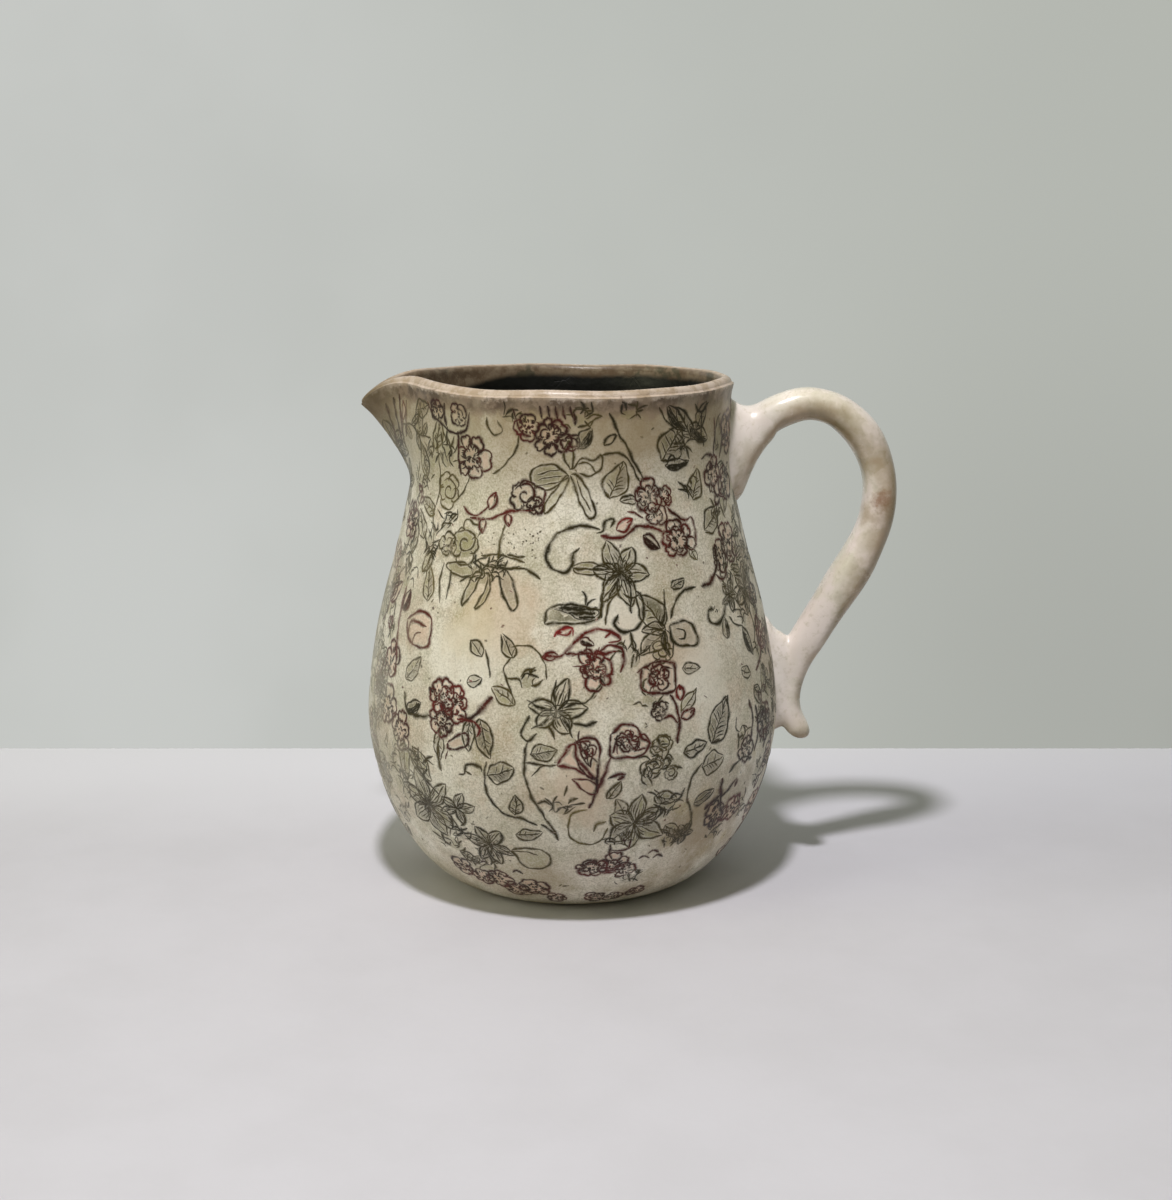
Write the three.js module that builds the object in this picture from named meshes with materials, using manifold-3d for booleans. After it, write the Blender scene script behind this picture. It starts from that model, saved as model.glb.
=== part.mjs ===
// Ceramic pitcher: a round-bellied jug with a straight neck, a small pinched spout
// and one pulled strap handle. Millimetres, +Z up, origin on the vessel's axis at
// the underside. The spout points to -X and the handle to +X.
import * as THREE from 'three';
import { mergeVertices } from 'three/addons/utils/BufferGeometryUtils.js';
import Module from 'manifold-3d';

// ---- Driving dimensions ----
const RIM_HEIGHT = 186;
const WALL = 4.5;
const BASE_THICKNESS = 5;
const LIP_RISE = 2.4;
const RIM_BAND = 5.5;
const GAP = 0.3;
const GLAZE = 0.8;
const GLAZE_DEPTH = 9;

// Outside of the vessel, as radius and height, from the base's edge to the lip.
const OUTLINE = [
  [43.8, 0], [51.8, 4.5], [60.5, 14], [69, 29.5], [74.4, 48], [75.9, 66],
  [72, 95], [63.4, 128], [58.7, 150], [58, 168], [58.2, RIM_HEIGHT - LIP_RISE],
];

// The spout is pulled out of the wall between SPOUT_START and the lip.
const SPOUT_START = 148;
const SPOUT_REACH = 19.3;
const SPOUT_BEND = 1.4;
const SPOUT_HALF_ANGLE = THREE.MathUtils.degToRad(27);
const SPOUT_SPREAD = THREE.MathUtils.degToRad(9.3);
const SPOUT_SPREAD_BELOW = THREE.MathUtils.degToRad(10);
const SPOUT_SHARPNESS = 1.37;
const LIP_BEND_START = 140;
const LIP_SWELL = 2;
const LIP_SWELL_SPREAD = THREE.MathUtils.degToRad(28);
const TIP_DROP = 10.5;
const TIP_SPREAD = THREE.MathUtils.degToRad(5.6);
const TIP_SHARPNESS = 1.2;

// Centre line of the handle strap in the XZ plane, from the upper root to the tail.
const HANDLE_PATH = [
  [54, 156], [62, 162], [69.5, 169.4], [78, 174], [87, 175.8], [97.5, 172.6], [107.3, 163],
  [112.6, 149], [112, 134], [106.4, 119.5], [98.3, 105.5], [90.4, 92.5], [84.2, 81], [81.3, 70],
  [81.3, 62], [84.2, 55.2], [89, 50.2],
];
const STRAP_WIDTH = 15;
const STRAP_THICKNESS = 12.2;
const TAIL_WIDTH = 11;
const TAIL_THICKNESS = 8.6;

// Clay pressed around the handle's two roots: centre x, z, tilt of the section,
// half height and half width of each section, from inside the wall outwards.
const UPPER_JOINT = [
  [50, 157, 0, 20, 13], [58.6, 158.5, 0, 18.5, 12.4], [61.5, 160.5, 16, 15, 11],
  [65, 164, 32, 11, 9.6], [70, 168.7, 45, 8.2, 8.6], [75, 172, 56, 6.9, 8.1],
];
const LOWER_JOINT = [
  [68, 71.5, 0, 22.5, 11.5], [75.4, 71.5, 0, 21, 10.4], [77.6, 72, 0, 19, 9.2],
  [80, 73, 0, 15.5, 7.9], [82, 74, 0, 11, 6.4],
];

// ---- Mesh resolution ----
const SIDE_STEPS = 26;
const BELLY_ROWS = 13;
const SPOUT_ROWS = 8;
const BELLY_SHARE = 0.83;
const BASE_ROWS = 3;
const LIP_STEPS = 5;
const STRAP_STEPS = 46;
const STRAP_SIDES = 16;
const OVERSIZE = 300;

const wasm = await Module();
wasm.setup();

function toSolid(geometry) {
  const bare = geometry.clone();
  bare.deleteAttribute('normal');
  bare.deleteAttribute('uv');
  const merged = mergeVertices(bare, 1e-5);
  const mesh = new wasm.Mesh({
    numProp: 3,
    vertProperties: new Float32Array(merged.attributes.position.array),
    triVerts: new Uint32Array(merged.index.array),
  });
  return new wasm.Manifold(mesh);
}

function toGeometry(solid) {
  const mesh = solid.getMesh();
  const geometry = new THREE.BufferGeometry();
  geometry.setAttribute('position', new THREE.BufferAttribute(mesh.vertProperties, 3));
  geometry.setIndex(new THREE.BufferAttribute(mesh.triVerts, 1));
  geometry.computeVertexNormals();
  return geometry;
}

// Closed surface from rings of points. Each ring is joined to the next, and either
// the last ring meets the first one or both ends are closed with a middle point.
function joinRings(rings, loops) {
  const count = rings[0].length;
  const positions = rings.flat().flatMap((p) => [p.x, p.y, p.z]);
  const index = [];
  const last = loops ? rings.length : rings.length - 1;
  for (let row = 0; row < last; row += 1) {
    const next = (row + 1) % rings.length;
    for (let i = 0; i < count; i += 1) {
      const j = (i + 1) % count;
      const [a, b, c, d] = [row * count + i, row * count + j, next * count + j, next * count + i];
      index.push(a, b, c, a, c, d);
    }
  }
  if (!loops) {
    for (const [row, flip] of [[0, true], [rings.length - 1, false]]) {
      const middle = new THREE.Vector3();
      rings[row].forEach((p) => middle.addScaledVector(p, 1 / count));
      const centre = positions.length / 3;
      positions.push(middle.x, middle.y, middle.z);
      for (let i = 0; i < count; i += 1) {
        const edge = [row * count + i, row * count + ((i + 1) % count)];
        index.push(centre, ...(flip ? edge.reverse() : edge));
      }
    }
  }
  const geometry = new THREE.BufferGeometry();
  geometry.setAttribute('position', new THREE.Float32BufferAttribute(positions, 3));
  geometry.setIndex(index);
  geometry.computeVertexNormals();
  return geometry;
}

// ---- Vessel section ----
const outline = new THREE.SplineCurve(OUTLINE.map(([r, z]) => new THREE.Vector2(r, z)));

// Shares of the outline's length at which the rows lie, closer together at the spout.
const rowShares = [];
for (let i = 0; i < BELLY_ROWS; i += 1) rowShares.push((BELLY_SHARE * i) / BELLY_ROWS);
for (let i = 0; i <= SPOUT_ROWS; i += 1) rowShares.push(BELLY_SHARE + ((1 - BELLY_SHARE) * i) / SPOUT_ROWS);

// Points of the outline moved inwards by a depth measured square to the wall.
function wallLine(depth) {
  return rowShares.map((share) => {
    const point = outline.getPointAt(share);
    const along = outline.getTangentAt(share);
    return new THREE.Vector2(point.x - along.y * depth, point.y + along.x * depth);
  });
}

function clip(points, low, high) {
  const kept = [];
  for (let i = 0; i < points.length; i += 1) {
    const point = points[i];
    const before = points[i - 1];
    for (const level of [low, high]) {
      if (before && before.y < level && point.y > level) {
        kept.push(before.clone().lerp(point, (level - before.y) / (point.y - before.y)));
      }
    }
    if (point.y >= low && point.y <= high) kept.push(point);
  }
  return kept;
}

function bell(angle, spread, sharpness) {
  return Math.exp(-((Math.abs(angle) / spread) ** sharpness));
}

// Height of the lip at an angle from the spout: it swells beside the spout and dips
// at the pouring tip.
function lipHeight(angle) {
  const swell = LIP_SWELL * bell(angle, LIP_SWELL_SPREAD, 2);
  return RIM_HEIGHT + swell - TIP_DROP * bell(angle, TIP_SPREAD, TIP_SHARPNESS);
}

// Point of the vessel at a section point and an angle from the spout.
function place(section, angle) {
  const rise = Math.max(0, section.y - LIP_BEND_START) / (RIM_HEIGHT - LIP_BEND_START);
  const height = section.y + rise * (lipHeight(angle) - RIM_HEIGHT);
  const pull = Math.max(0, section.y - SPOUT_START) / (RIM_HEIGHT - SPOUT_START);
  const spread = SPOUT_SPREAD + SPOUT_SPREAD_BELOW * (1 - pull);
  const radius = section.x + SPOUT_REACH * pull ** SPOUT_BEND * bell(angle, spread, SPOUT_SHARPNESS);
  return new THREE.Vector3(-radius * Math.cos(angle), -radius * Math.sin(angle), height);
}

// Angles around the vessel, closer together at the spout.
const angles = [];
for (let i = -SIDE_STEPS; i < SIDE_STEPS; i += 1) {
  const share = Math.abs(i) / SIDE_STEPS;
  angles.push(Math.sign(i) * Math.PI * (0.3 * share + 0.7 * share ** 2));
}

function aroundAxis(section, loops) {
  return joinRings(section.map((point) => angles.map((angle) => place(point, angle))), loops);
}

// ---- Vessel pieces ----
const floorTop = BASE_THICKNESS + GAP;

function wallSection() {
  const outer = clip(wallLine(0), floorTop, RIM_HEIGHT);
  const inner = clip(wallLine(WALL), floorTop, RIM_HEIGHT).reverse();
  const lip = [];
  const middle = outer.at(-1).clone().lerp(inner[0], 0.5);
  const half = (outer.at(-1).x - inner[0].x) / 2;
  for (let i = 1; i < LIP_STEPS; i += 1) {
    const turn = (Math.PI * i) / LIP_STEPS;
    lip.push(new THREE.Vector2(middle.x + half * Math.cos(turn), middle.y + LIP_RISE * Math.sin(turn)));
  }
  return [...outer, ...lip, ...inner];
}

function slab(low, high) {
  const box = new THREE.BoxGeometry(OVERSIZE, OVERSIZE, high - low);
  return toSolid(box.translate(0, 0, (low + high) / 2));
}

// Wedge of space around the spout, grown by a margin on the sides and below.
function spoutWedge(margin) {
  const near = 25;
  const far = 110;
  const slope = Math.tan(SPOUT_HALF_ANGLE);
  const wedge = new THREE.Shape([
    new THREE.Vector2(-near, near * slope + margin), new THREE.Vector2(-far, far * slope + margin),
    new THREE.Vector2(-far, -far * slope - margin), new THREE.Vector2(-near, -near * slope - margin),
  ]);
  const geometry = new THREE.ExtrudeGeometry(wedge, { depth: OVERSIZE, bevelEnabled: false });
  return toSolid(geometry.translate(0, 0, SPOUT_START - margin));
}

const clayWall = toSolid(aroundAxis(wallSection(), true));
const rimStart = RIM_HEIGHT - RIM_BAND;
const besideSpout = clayWall.subtract(spoutWedge(GAP));
const vesselWall = besideSpout.intersect(slab(0, rimStart - GAP));
const rimLip = besideSpout.intersect(slab(rimStart, RIM_HEIGHT + OVERSIZE));
const spout = clayWall.intersect(spoutWedge(0));

function baseSlab() {
  const side = clip(outline.getSpacedPoints(BASE_ROWS * BELLY_ROWS), 0, BASE_THICKNESS);
  const ends = [new THREE.Vector2(0, 0), new THREE.Vector2(0, BASE_THICKNESS)];
  return new THREE.LatheGeometry([ends[0], ...side, ends[1]], 2 * SIDE_STEPS);
}

// Dark lining: a thin skin inside the wall and over the floor.
function liner() {
  const floor = floorTop + GLAZE;
  const top = RIM_HEIGHT - GLAZE_DEPTH;
  const outer = clip(wallLine(WALL + GAP), floorTop, top);
  const inner = clip(wallLine(WALL + GAP + GLAZE), floor, top).reverse();
  return aroundAxis([...outer, ...inner], false);
}

// ---- Handle ----
// Rings of an oval section. `across` lies in the XZ plane and the width along Y.
function oval(centre, across, halfHeight, halfWidth) {
  const ring = [];
  for (let i = 0; i < STRAP_SIDES; i += 1) {
    const turn = (2 * Math.PI * i) / STRAP_SIDES;
    const point = centre.clone().addScaledVector(across, halfHeight * Math.cos(turn));
    point.y += halfWidth * Math.sin(turn);
    ring.push(point);
  }
  return ring;
}

const handleCurve = new THREE.CatmullRomCurve3(
  HANDLE_PATH.map(([x, z]) => new THREE.Vector3(x, 0, z)), false, 'catmullrom');

function strap(growth) {
  const rings = [];
  for (let i = 0; i <= STRAP_STEPS; i += 1) {
    const share = i / STRAP_STEPS;
    const along = handleCurve.getTangentAt(share);
    const across = new THREE.Vector3(along.z, 0, -along.x);
    const taper = THREE.MathUtils.smoothstep(share, 0.55, 0.92);
    const roundEnd = Math.sqrt(1 - Math.min(0.9, Math.max(0, (share - 0.965) / 0.035)) ** 2);
    const thickness = THREE.MathUtils.lerp(STRAP_THICKNESS, TAIL_THICKNESS, taper) * roundEnd;
    const width = THREE.MathUtils.lerp(STRAP_WIDTH, TAIL_WIDTH, taper) * roundEnd;
    rings.push(oval(handleCurve.getPointAt(share), across, thickness / 2 + growth, width / 2 + growth));
  }
  return toSolid(joinRings(rings, false));
}

function joint(sections) {
  const rings = sections.map(([x, z, tilt, halfHeight, halfWidth]) => {
    const lean = THREE.MathUtils.degToRad(tilt);
    const across = new THREE.Vector3(Math.sin(lean), 0, -Math.cos(lean));
    return oval(new THREE.Vector3(x, 0, z), across, halfHeight, halfWidth);
  });
  return toSolid(joinRings(rings, false));
}

// The vessel grown by the gap and filled, which cuts the handle pieces to its surface.
function grownVessel() {
  return toSolid(aroundAxis(wallLine(-GAP), false));
}

const vesselSpace = grownVessel();
const handleStrap = strap(0).subtract(vesselSpace);
const strapSpace = strap(GAP);

function fittedJoint(sections) {
  return joint(sections).subtract(vesselSpace).subtract(strapSpace);
}

// ---- Assembly ----
const pitcher = new THREE.Group();

function addPiece(name, geometry, color, roughness) {
  const mesh = new THREE.Mesh(geometry, new THREE.MeshStandardMaterial({ color, roughness, metalness: 0 }));
  mesh.name = name;
  pitcher.add(mesh);
}

addPiece('base_slab', baseSlab().rotateX(Math.PI / 2), 0xb39b80, 0.9);
addPiece('vessel_wall', toGeometry(vesselWall), 0xc8c3aa, 0.5);
addPiece('rim_lip', toGeometry(rimLip), 0xa08c7c, 0.6);
addPiece('pouring_spout', toGeometry(spout), 0xbab39b, 0.55);
addPiece('interior_glaze', liner(), 0x1b1e1f, 0.25);
addPiece('handle_strap', toGeometry(handleStrap), 0xd9d2c4, 0.3);
addPiece('upper_handle_joint', toGeometry(fittedJoint(UPPER_JOINT)), 0xded2ca, 0.35);
addPiece('lower_handle_joint', toGeometry(fittedJoint(LOWER_JOINT)), 0xdccfc8, 0.35);

export default pitcher;
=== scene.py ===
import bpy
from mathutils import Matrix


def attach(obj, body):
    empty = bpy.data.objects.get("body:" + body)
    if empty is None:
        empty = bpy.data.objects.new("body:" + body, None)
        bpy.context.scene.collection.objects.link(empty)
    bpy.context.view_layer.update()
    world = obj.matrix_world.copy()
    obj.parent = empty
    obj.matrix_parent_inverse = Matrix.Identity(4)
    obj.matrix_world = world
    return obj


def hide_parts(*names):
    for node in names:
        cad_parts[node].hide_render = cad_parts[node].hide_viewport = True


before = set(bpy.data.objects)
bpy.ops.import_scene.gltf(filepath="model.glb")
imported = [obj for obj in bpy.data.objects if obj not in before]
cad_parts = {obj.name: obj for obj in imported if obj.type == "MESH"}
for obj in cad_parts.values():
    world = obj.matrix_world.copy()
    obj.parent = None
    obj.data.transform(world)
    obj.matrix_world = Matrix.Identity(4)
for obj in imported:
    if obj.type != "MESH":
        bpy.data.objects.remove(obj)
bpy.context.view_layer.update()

import copy
import math
import random

import bpy
import numpy as np
from mathutils import Vector

MM = 0.001
FULL_TURN = 2 * math.pi
# Nearly a full turn, for rings drawn by hand that don't quite close.
HAND_TURN = 6.28

# ---- The vessel's design, in millimetres, as in the CAD model ----
RIM_HEIGHT = 186.0
LIP_RISE = 2.4
WALL = 4.5
OUTLINE = [
    (43.8, 0), (51.8, 4.5), (60.5, 14), (69, 29.5), (74.4, 48), (75.9, 66),
    (72, 95), (63.4, 128), (58.7, 150), (58, 168), (58.2, RIM_HEIGHT - LIP_RISE),
]
SPOUT_START = 148.0
SPOUT_REACH = 19.3
SPOUT_BEND = 1.4
SPOUT_SPREAD = math.radians(9.3)
SPOUT_SPREAD_BELOW = math.radians(10)
SPOUT_SHARPNESS = 1.37
LIP_BEND_START = 140.0
LIP_SWELL = 2.0
LIP_SWELL_SPREAD = math.radians(28)
TIP_DROP = 10.5
TIP_SPREAD = math.radians(5.6)
TIP_SHARPNESS = 1.2
HANDLE_PATH = [
    (54, 156), (62, 162), (69.5, 169.4), (78, 174), (87, 175.8), (97.5, 172.6), (107.3, 163),
    (112.6, 149), (112, 134), (106.4, 119.5), (98.3, 105.5), (90.4, 92.5), (84.2, 81), (81.3, 70),
    (81.3, 62), (84.2, 55.2), (89, 50.2),
]
STRAP_WIDTH = 15.0
STRAP_THICKNESS = 12.2
TAIL_WIDTH = 11.0
TAIL_THICKNESS = 8.6

# ---- The visible surface ----
BASE_TOP = 5.0
RIM_BAND_BELOW = 9.0
LINING_START = 14.0
LINING_DEPTH = 5.2
HIDDEN_STEP = 6.0
SIDE_STEPS = 144
ROW_STEP = 1.6
SHARP_ANGLE = math.radians(32)
STRAP_COLUMNS = 40
# Marks of the potter's hand, as waves: size, waves per unit and shift.
LIP_WAVES = ((0.3, 2, 2), (0.22, 5, 0.4), (0.16, 9, 1.3))
STRAP_WAVES = ((0.03, 23, 0), (0.02, 41, 1))


# ---------------------------------------------------------------- curves
def catmull(points, steps, reach_out):
    """Smooth curve through points. Its ends are extended, or held at the end points."""
    points = np.array(points, float)
    before = 2 * points[0] - points[1] if reach_out else points[0]
    after = 2 * points[-1] - points[-2] if reach_out else points[-1]
    knots = np.vstack([before, points, after])
    out = []
    for i in range(1, len(knots) - 2):
        a, b, c, d = knots[i - 1:i + 3]
        for t in np.linspace(0, 1, steps, endpoint=False):
            bend = (c - a) * t + (2 * a - 5 * b + 4 * c - d) * t ** 2 + (3 * b - a - 3 * c + d) * t ** 3
            out.append(b + 0.5 * bend)
    out.append(knots[-2])
    return np.array(out)


def rounded(start, pull, end, steps):
    """Points of a curve from start to end, bent towards pull, without its first point."""
    shares = np.linspace(0, 1, steps)[1:]
    return [tuple((1 - t) ** 2 * start + 2 * t * (1 - t) * pull + t ** 2 * end) for t in shares]


def lengths(curve):
    """Distance of each point from the curve's start, measured along it."""
    return np.r_[0, np.cumsum(np.linalg.norm(np.diff(curve, axis=0), axis=1))]


def smoothstep(low, high, x):
    t = np.clip((np.asarray(x, float) - low) / (high - low), 0, 1)
    return t * t * (3 - 2 * t)


def bell(x, spread, sharpness):
    return np.exp(-(np.abs(x) / spread) ** sharpness)


def waves(x, terms):
    return sum(size * np.sin(pace * x + shift) for size, pace, shift in terms)


SIDE = catmull(OUTLINE, 40, reach_out=False)
SIDE_LENGTH = lengths(SIDE)
SIDE_SLOPE = np.gradient(SIDE, SIDE_LENGTH, axis=0)
TOP = SIDE_LENGTH[-1]
LIP_HALF = WALL / 2
LIP_ARC = math.pi * (LIP_HALF + LIP_RISE) / 4
RIM_LOW = TOP - RIM_BAND_BELOW
LINING_TOP = TOP - LINING_START


def along_side(height):
    """Distance along the outline, from the base's edge, of a height."""
    return np.interp(height, SIDE[:, 1], SIDE_LENGTH)


def radius_at(u):
    return np.interp(u, SIDE_LENGTH, SIDE[:, 0])


def side(u, depth=0.0):
    """Radius and height of the wall at distance u along the outline, at a depth inside it."""
    radius = radius_at(u) - depth * np.interp(u, SIDE_LENGTH, SIDE_SLOPE[:, 1])
    height = np.interp(u, SIDE_LENGTH, SIDE[:, 1]) + depth * np.interp(u, SIDE_LENGTH, SIDE_SLOPE[:, 0])
    return radius, height


# ---------------------------------------------------------------- the vessel's form
def lip_shift(a):
    """How far the lip stands above the rim's plane at angle a from the spout."""
    formed = LIP_SWELL * bell(a, LIP_SWELL_SPREAD, 2) - TIP_DROP * bell(a, TIP_SPREAD, TIP_SHARPNESS)
    return formed + waves(a, LIP_WAVES) * smoothstep(0.15, 0.6, np.abs(a))


def place(radius, height, a):
    """Points of the vessel from its section and the angle from the spout, in millimetres."""
    a = (np.asarray(a, float) + math.pi) % FULL_TURN - math.pi
    rise = np.clip(height - LIP_BEND_START, 0, None) / (RIM_HEIGHT - LIP_BEND_START)
    pull = np.clip((height - SPOUT_START) / (RIM_HEIGHT - SPOUT_START), 0, None)
    spread = SPOUT_SPREAD + SPOUT_SPREAD_BELOW * (1 - np.clip(pull, 0, 1))
    beak = SPOUT_REACH * pull ** SPOUT_BEND * bell(a, spread, SPOUT_SHARPNESS)
    # The wall is a little out of round, less so near the base and the axis.
    uneven = 0.22 * np.sin(2 * a + 0.7 + height / 55) + 0.16 * np.sin(3 * a - height / 38)
    uneven = uneven * smoothstep(0, 30, height) * np.clip(radius / 20, 0, 1)
    far = radius + beak + uneven
    up = height + rise * lip_shift(a)
    return np.stack(np.broadcast_arrays(-far * np.cos(a), -far * np.sin(a), up), -1)


def bead(u):
    """How far the rounded rim stands out from the outline."""
    return 0.75 * np.exp(-((LIP_ARC + TOP - u - 3.6) / 2.4) ** 2)


def on_wall(u, a, lift=0.0):
    """Points on the outside of the wall, at distance u up the outline and angle a from the spout."""
    radius, height = side(u, -lift)
    return place(radius + bead(u), height, a)


def side_angles():
    """Angles round the vessel, closer together at the spout."""
    share = np.arange(-SIDE_STEPS, SIDE_STEPS) / SIDE_STEPS
    return np.sign(share) * math.pi * (0.4 * np.abs(share) + 0.6 * share ** 2)


# ---------------------------------------------------------------- meshes
def link_object(name, data):
    piece = bpy.data.objects.new(name, data)
    bpy.context.scene.collection.objects.link(piece)
    return piece


def new_mesh(name, points, faces):
    """Mesh from points in millimetres."""
    mesh = bpy.data.meshes.new(name)
    mesh.from_pydata((np.asarray(points) * MM).tolist(), [], faces)
    return mesh


def make_object(name, points, faces, material, values):
    """Smooth-shaded piece. values holds one float attribute per name."""
    mesh = new_mesh(name, points, faces)
    for key, numbers in values.items():
        layer = mesh.attributes.new(key, "FLOAT", "POINT")
        layer.data.foreach_set("value", np.asarray(numbers, np.float32).ravel())
    mesh.shade_smooth()
    mesh.set_sharp_from_angle(angle=SHARP_ANGLE)
    mesh.materials.append(material)
    return link_object(name, mesh)


def ring_faces(rows, columns, loops):
    """Quads between rings of points, and between the last ring and the first if it loops."""
    faces = []
    for row in range(rows if loops else rows - 1):
        low = row * columns
        high = ((row + 1) % rows) * columns
        for i in range(columns):
            j = (i + 1) % columns
            faces.append((low + i, low + j, high + j, high + i))
    return faces


def turn_section(name, section, edges, material, loops):
    """Closed piece made by turning a section, a list of (radius, height), about the vessel's axis.

    edges holds, for each section point, its distance from the lip's crest along the
    surface: above 0 outside the vessel and below 0 inside it. A section that doesn't
    loop starts and ends on the axis.
    """
    section = np.array(section, float)
    edges = np.asarray(edges, float)
    angles = side_angles()
    columns = len(angles)
    off_axis = slice(None) if loops else slice(1, -1)
    grid = place(section[off_axis, :1], section[off_axis, 1:], angles[None, :])
    points = grid.reshape(-1, 3).tolist()
    faces = ring_faces(len(grid), columns, loops)
    marks = np.repeat(edges[off_axis], columns).tolist()
    for end, ring in () if loops else ((0, 0), (-1, len(grid) - 1)):
        points.append([0, 0, section[end][1]])
        marks.append(edges[end])
        for k in range(columns):
            pair = (ring * columns + k, ring * columns + (k + 1) % columns)
            faces.append((len(points) - 1, *(pair[::-1] if end == 0 else pair)))
    return make_object(name, points, faces, material, {"edge": marks})


def rows_between(low, high, step=ROW_STEP):
    count = max(2, math.ceil(abs(high - low) / step) + 1)
    return np.linspace(low, high, count)


def outer_rows(low, high):
    """Section of the outside between two distances up the outline, with its edge values."""
    u = rows_between(low, high)
    radius, height = side(u)
    return list(zip(radius + bead(u), height)), (LIP_ARC + TOP - u).tolist()


def inner_rows(high, low):
    """Section of the inside, going down, with its edge values and faint throwing rings."""
    u = rows_between(high, low)
    down = TOP - u
    radius, height = side(u, WALL + (LINING_DEPTH - WALL) * smoothstep(0, 10, down))
    thrown = 0.22 * np.sin(u / 1.35) * smoothstep(2, 12, down)
    return list(zip(radius + thrown, height)), (-LIP_ARC - down).tolist()


def build_body(material):
    """Belly, neck and spout: the outside, and an inner face hidden behind the lining."""
    low = along_side(BASE_TOP)
    outside, edge = outer_rows(low, RIM_LOW)
    hidden = list(zip(*side(rows_between(RIM_LOW, low, HIDDEN_STEP), WALL - 1.2)))
    return turn_section("jug_body", outside + hidden, edge + [-LINING_START] * len(hidden), material, True)


def build_rim(material):
    """The band below the lip, the rounded lip, and the inside down to the lining."""
    outside, edge = outer_rows(RIM_LOW, TOP)
    turns = np.linspace(0, math.pi, 15)[1:-1]
    middle = SIDE[-1, 0] - LIP_HALF
    lip = [(middle + LIP_HALF * math.cos(t), SIDE[-1, 1] + LIP_RISE * math.sin(t)) for t in turns]
    lip_edge = [LIP_ARC * (1 - 2 * t / math.pi) for t in turns]
    inside, inside_edge = inner_rows(TOP, LINING_TOP)
    return turn_section("jug_rim", outside + lip + inside, edge + lip_edge + inside_edge, material, True)


def build_lining(material):
    """Dark inside: wall, rounded corner and floor, closed by a back face inside the clay."""
    floor = BASE_TOP + 1.1
    inside, edge = inner_rows(LINING_TOP, along_side(17.0))
    start = np.array(inside[-1])
    fall = start - inside[-2]
    pull = start + fall * (start[1] - floor) / -fall[1]
    end = np.array([pull[0] - 12, floor])
    corner = rounded(start, pull, end, 12)
    flat = [(r, floor + 0.12 * math.sin(r / 1.6)) for r in np.linspace(end[0], 1.2, 24)[1:]]
    back_u = rows_between(along_side(12.0), LINING_TOP, HIDDEN_STEP)
    back = [(0, floor - 0.8), (end[0], floor - 0.8)] + list(zip(*side(back_u, WALL - 0.9)))
    # The back face rises from the axis to the rim, and the visible face returns to the axis.
    section = back + inside + corner + flat + [(0, floor)]
    edges = [edge[-1]] * len(back) + edge + [edge[-1]] * (len(corner) + len(flat) + 1)
    return turn_section("jug_lining", section, edges, material, False)


def build_base(material):
    """Unglazed foot: a flat disc with a softened edge."""
    heel = along_side(1.1)
    start = np.array([41.6, 0.0])
    flat = [(r, 0.0) for r in np.linspace(1.0, start[0], 24)]
    curve = rounded(start, np.array([43.9, 0.0]), np.array(side(heel)), 7)[:-1]
    outside, edge = outer_rows(heel, along_side(BASE_TOP))
    section = [(0, 0.0)] + flat + curve + outside + [(0, BASE_TOP - 0.1)]
    edges = [edge[0]] * (1 + len(flat) + len(curve)) + edge + [edge[-1]]
    return turn_section("jug_base", section, edges, material, False)


# ---------------------------------------------------------------- the handle
PATH = catmull(HANDLE_PATH, 24, reach_out=True)
PATH_LENGTH = lengths(PATH)
# The strap starts inside the upper root, this far along its path.
STRAP_START = 12
# Thickness of the strap at shares of its length: fullest above the lower root.
STRAP_SWELL = [
    (0, STRAP_THICKNESS), (0.45, 12.4), (0.585, 13.6), (0.65, 14), (0.72, 14), (0.78, 13.2), (0.82, 11.8),
    (0.88, 9.6), (0.93, 8.8), (1, TAIL_THICKNESS),
]
# Clay pressed round the two roots: x, lowest and highest height, half width.
UPPER_ROOT = [
    (54, 137.5, 179, 13.6), (58.4, 138.5, 177.6, 12), (60.4, 140, 176, 10.6), (62.5, 142.6, 175.2, 9.6),
    (63.9, 146, 175, 8.9), (65.3, 149.8, 175.2, 8.4), (67.7, 155.2, 176, 8), (70.6, 159.8, 177.6, 7.7),
    (74, 163.8, 179.2, 7.5),
]
LOWER_ROOT = [
    (68, 50, 99, 10.5), (73, 51.5, 96.4, 8.6), (74.4, 52, 93.8, 7.6), (76, 52.6, 92, 6.8),
    (78, 53.6, 91, 6.2), (80.4, 55, 89, 5.6), (82.4, 58, 84, 5),
]
# A squarer oval than an ellipse, as a strap pulled between finger and thumb has.
OVAL_POWER = 2 / 2.35
SKIN_VOXEL = 0.55
SKIN_SMOOTHING = 30


def loft(centres, across, thick, wide):
    """Closed tube of oval sections as (points, faces), from centres in the XZ plane."""
    turn = np.arange(STRAP_COLUMNS) * FULL_TURN / STRAP_COLUMNS
    in_plane = np.sign(np.cos(turn)) * np.abs(np.cos(turn)) ** OVAL_POWER
    sideways = np.sign(np.sin(turn)) * np.abs(np.sin(turn)) ** OVAL_POWER
    x, z = (centres[:, i:i + 1] + across[:, i:i + 1] * thick[:, None] * in_plane for i in (0, 1))
    y = wide[:, None] * sideways
    points = np.stack([x, y, z], -1).reshape(-1, 3).tolist()
    faces = ring_faces(len(centres), STRAP_COLUMNS, False)
    faces.append(tuple(range(STRAP_COLUMNS))[::-1])
    faces.append(tuple(range(len(points) - STRAP_COLUMNS, len(points))))
    return points, faces


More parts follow.
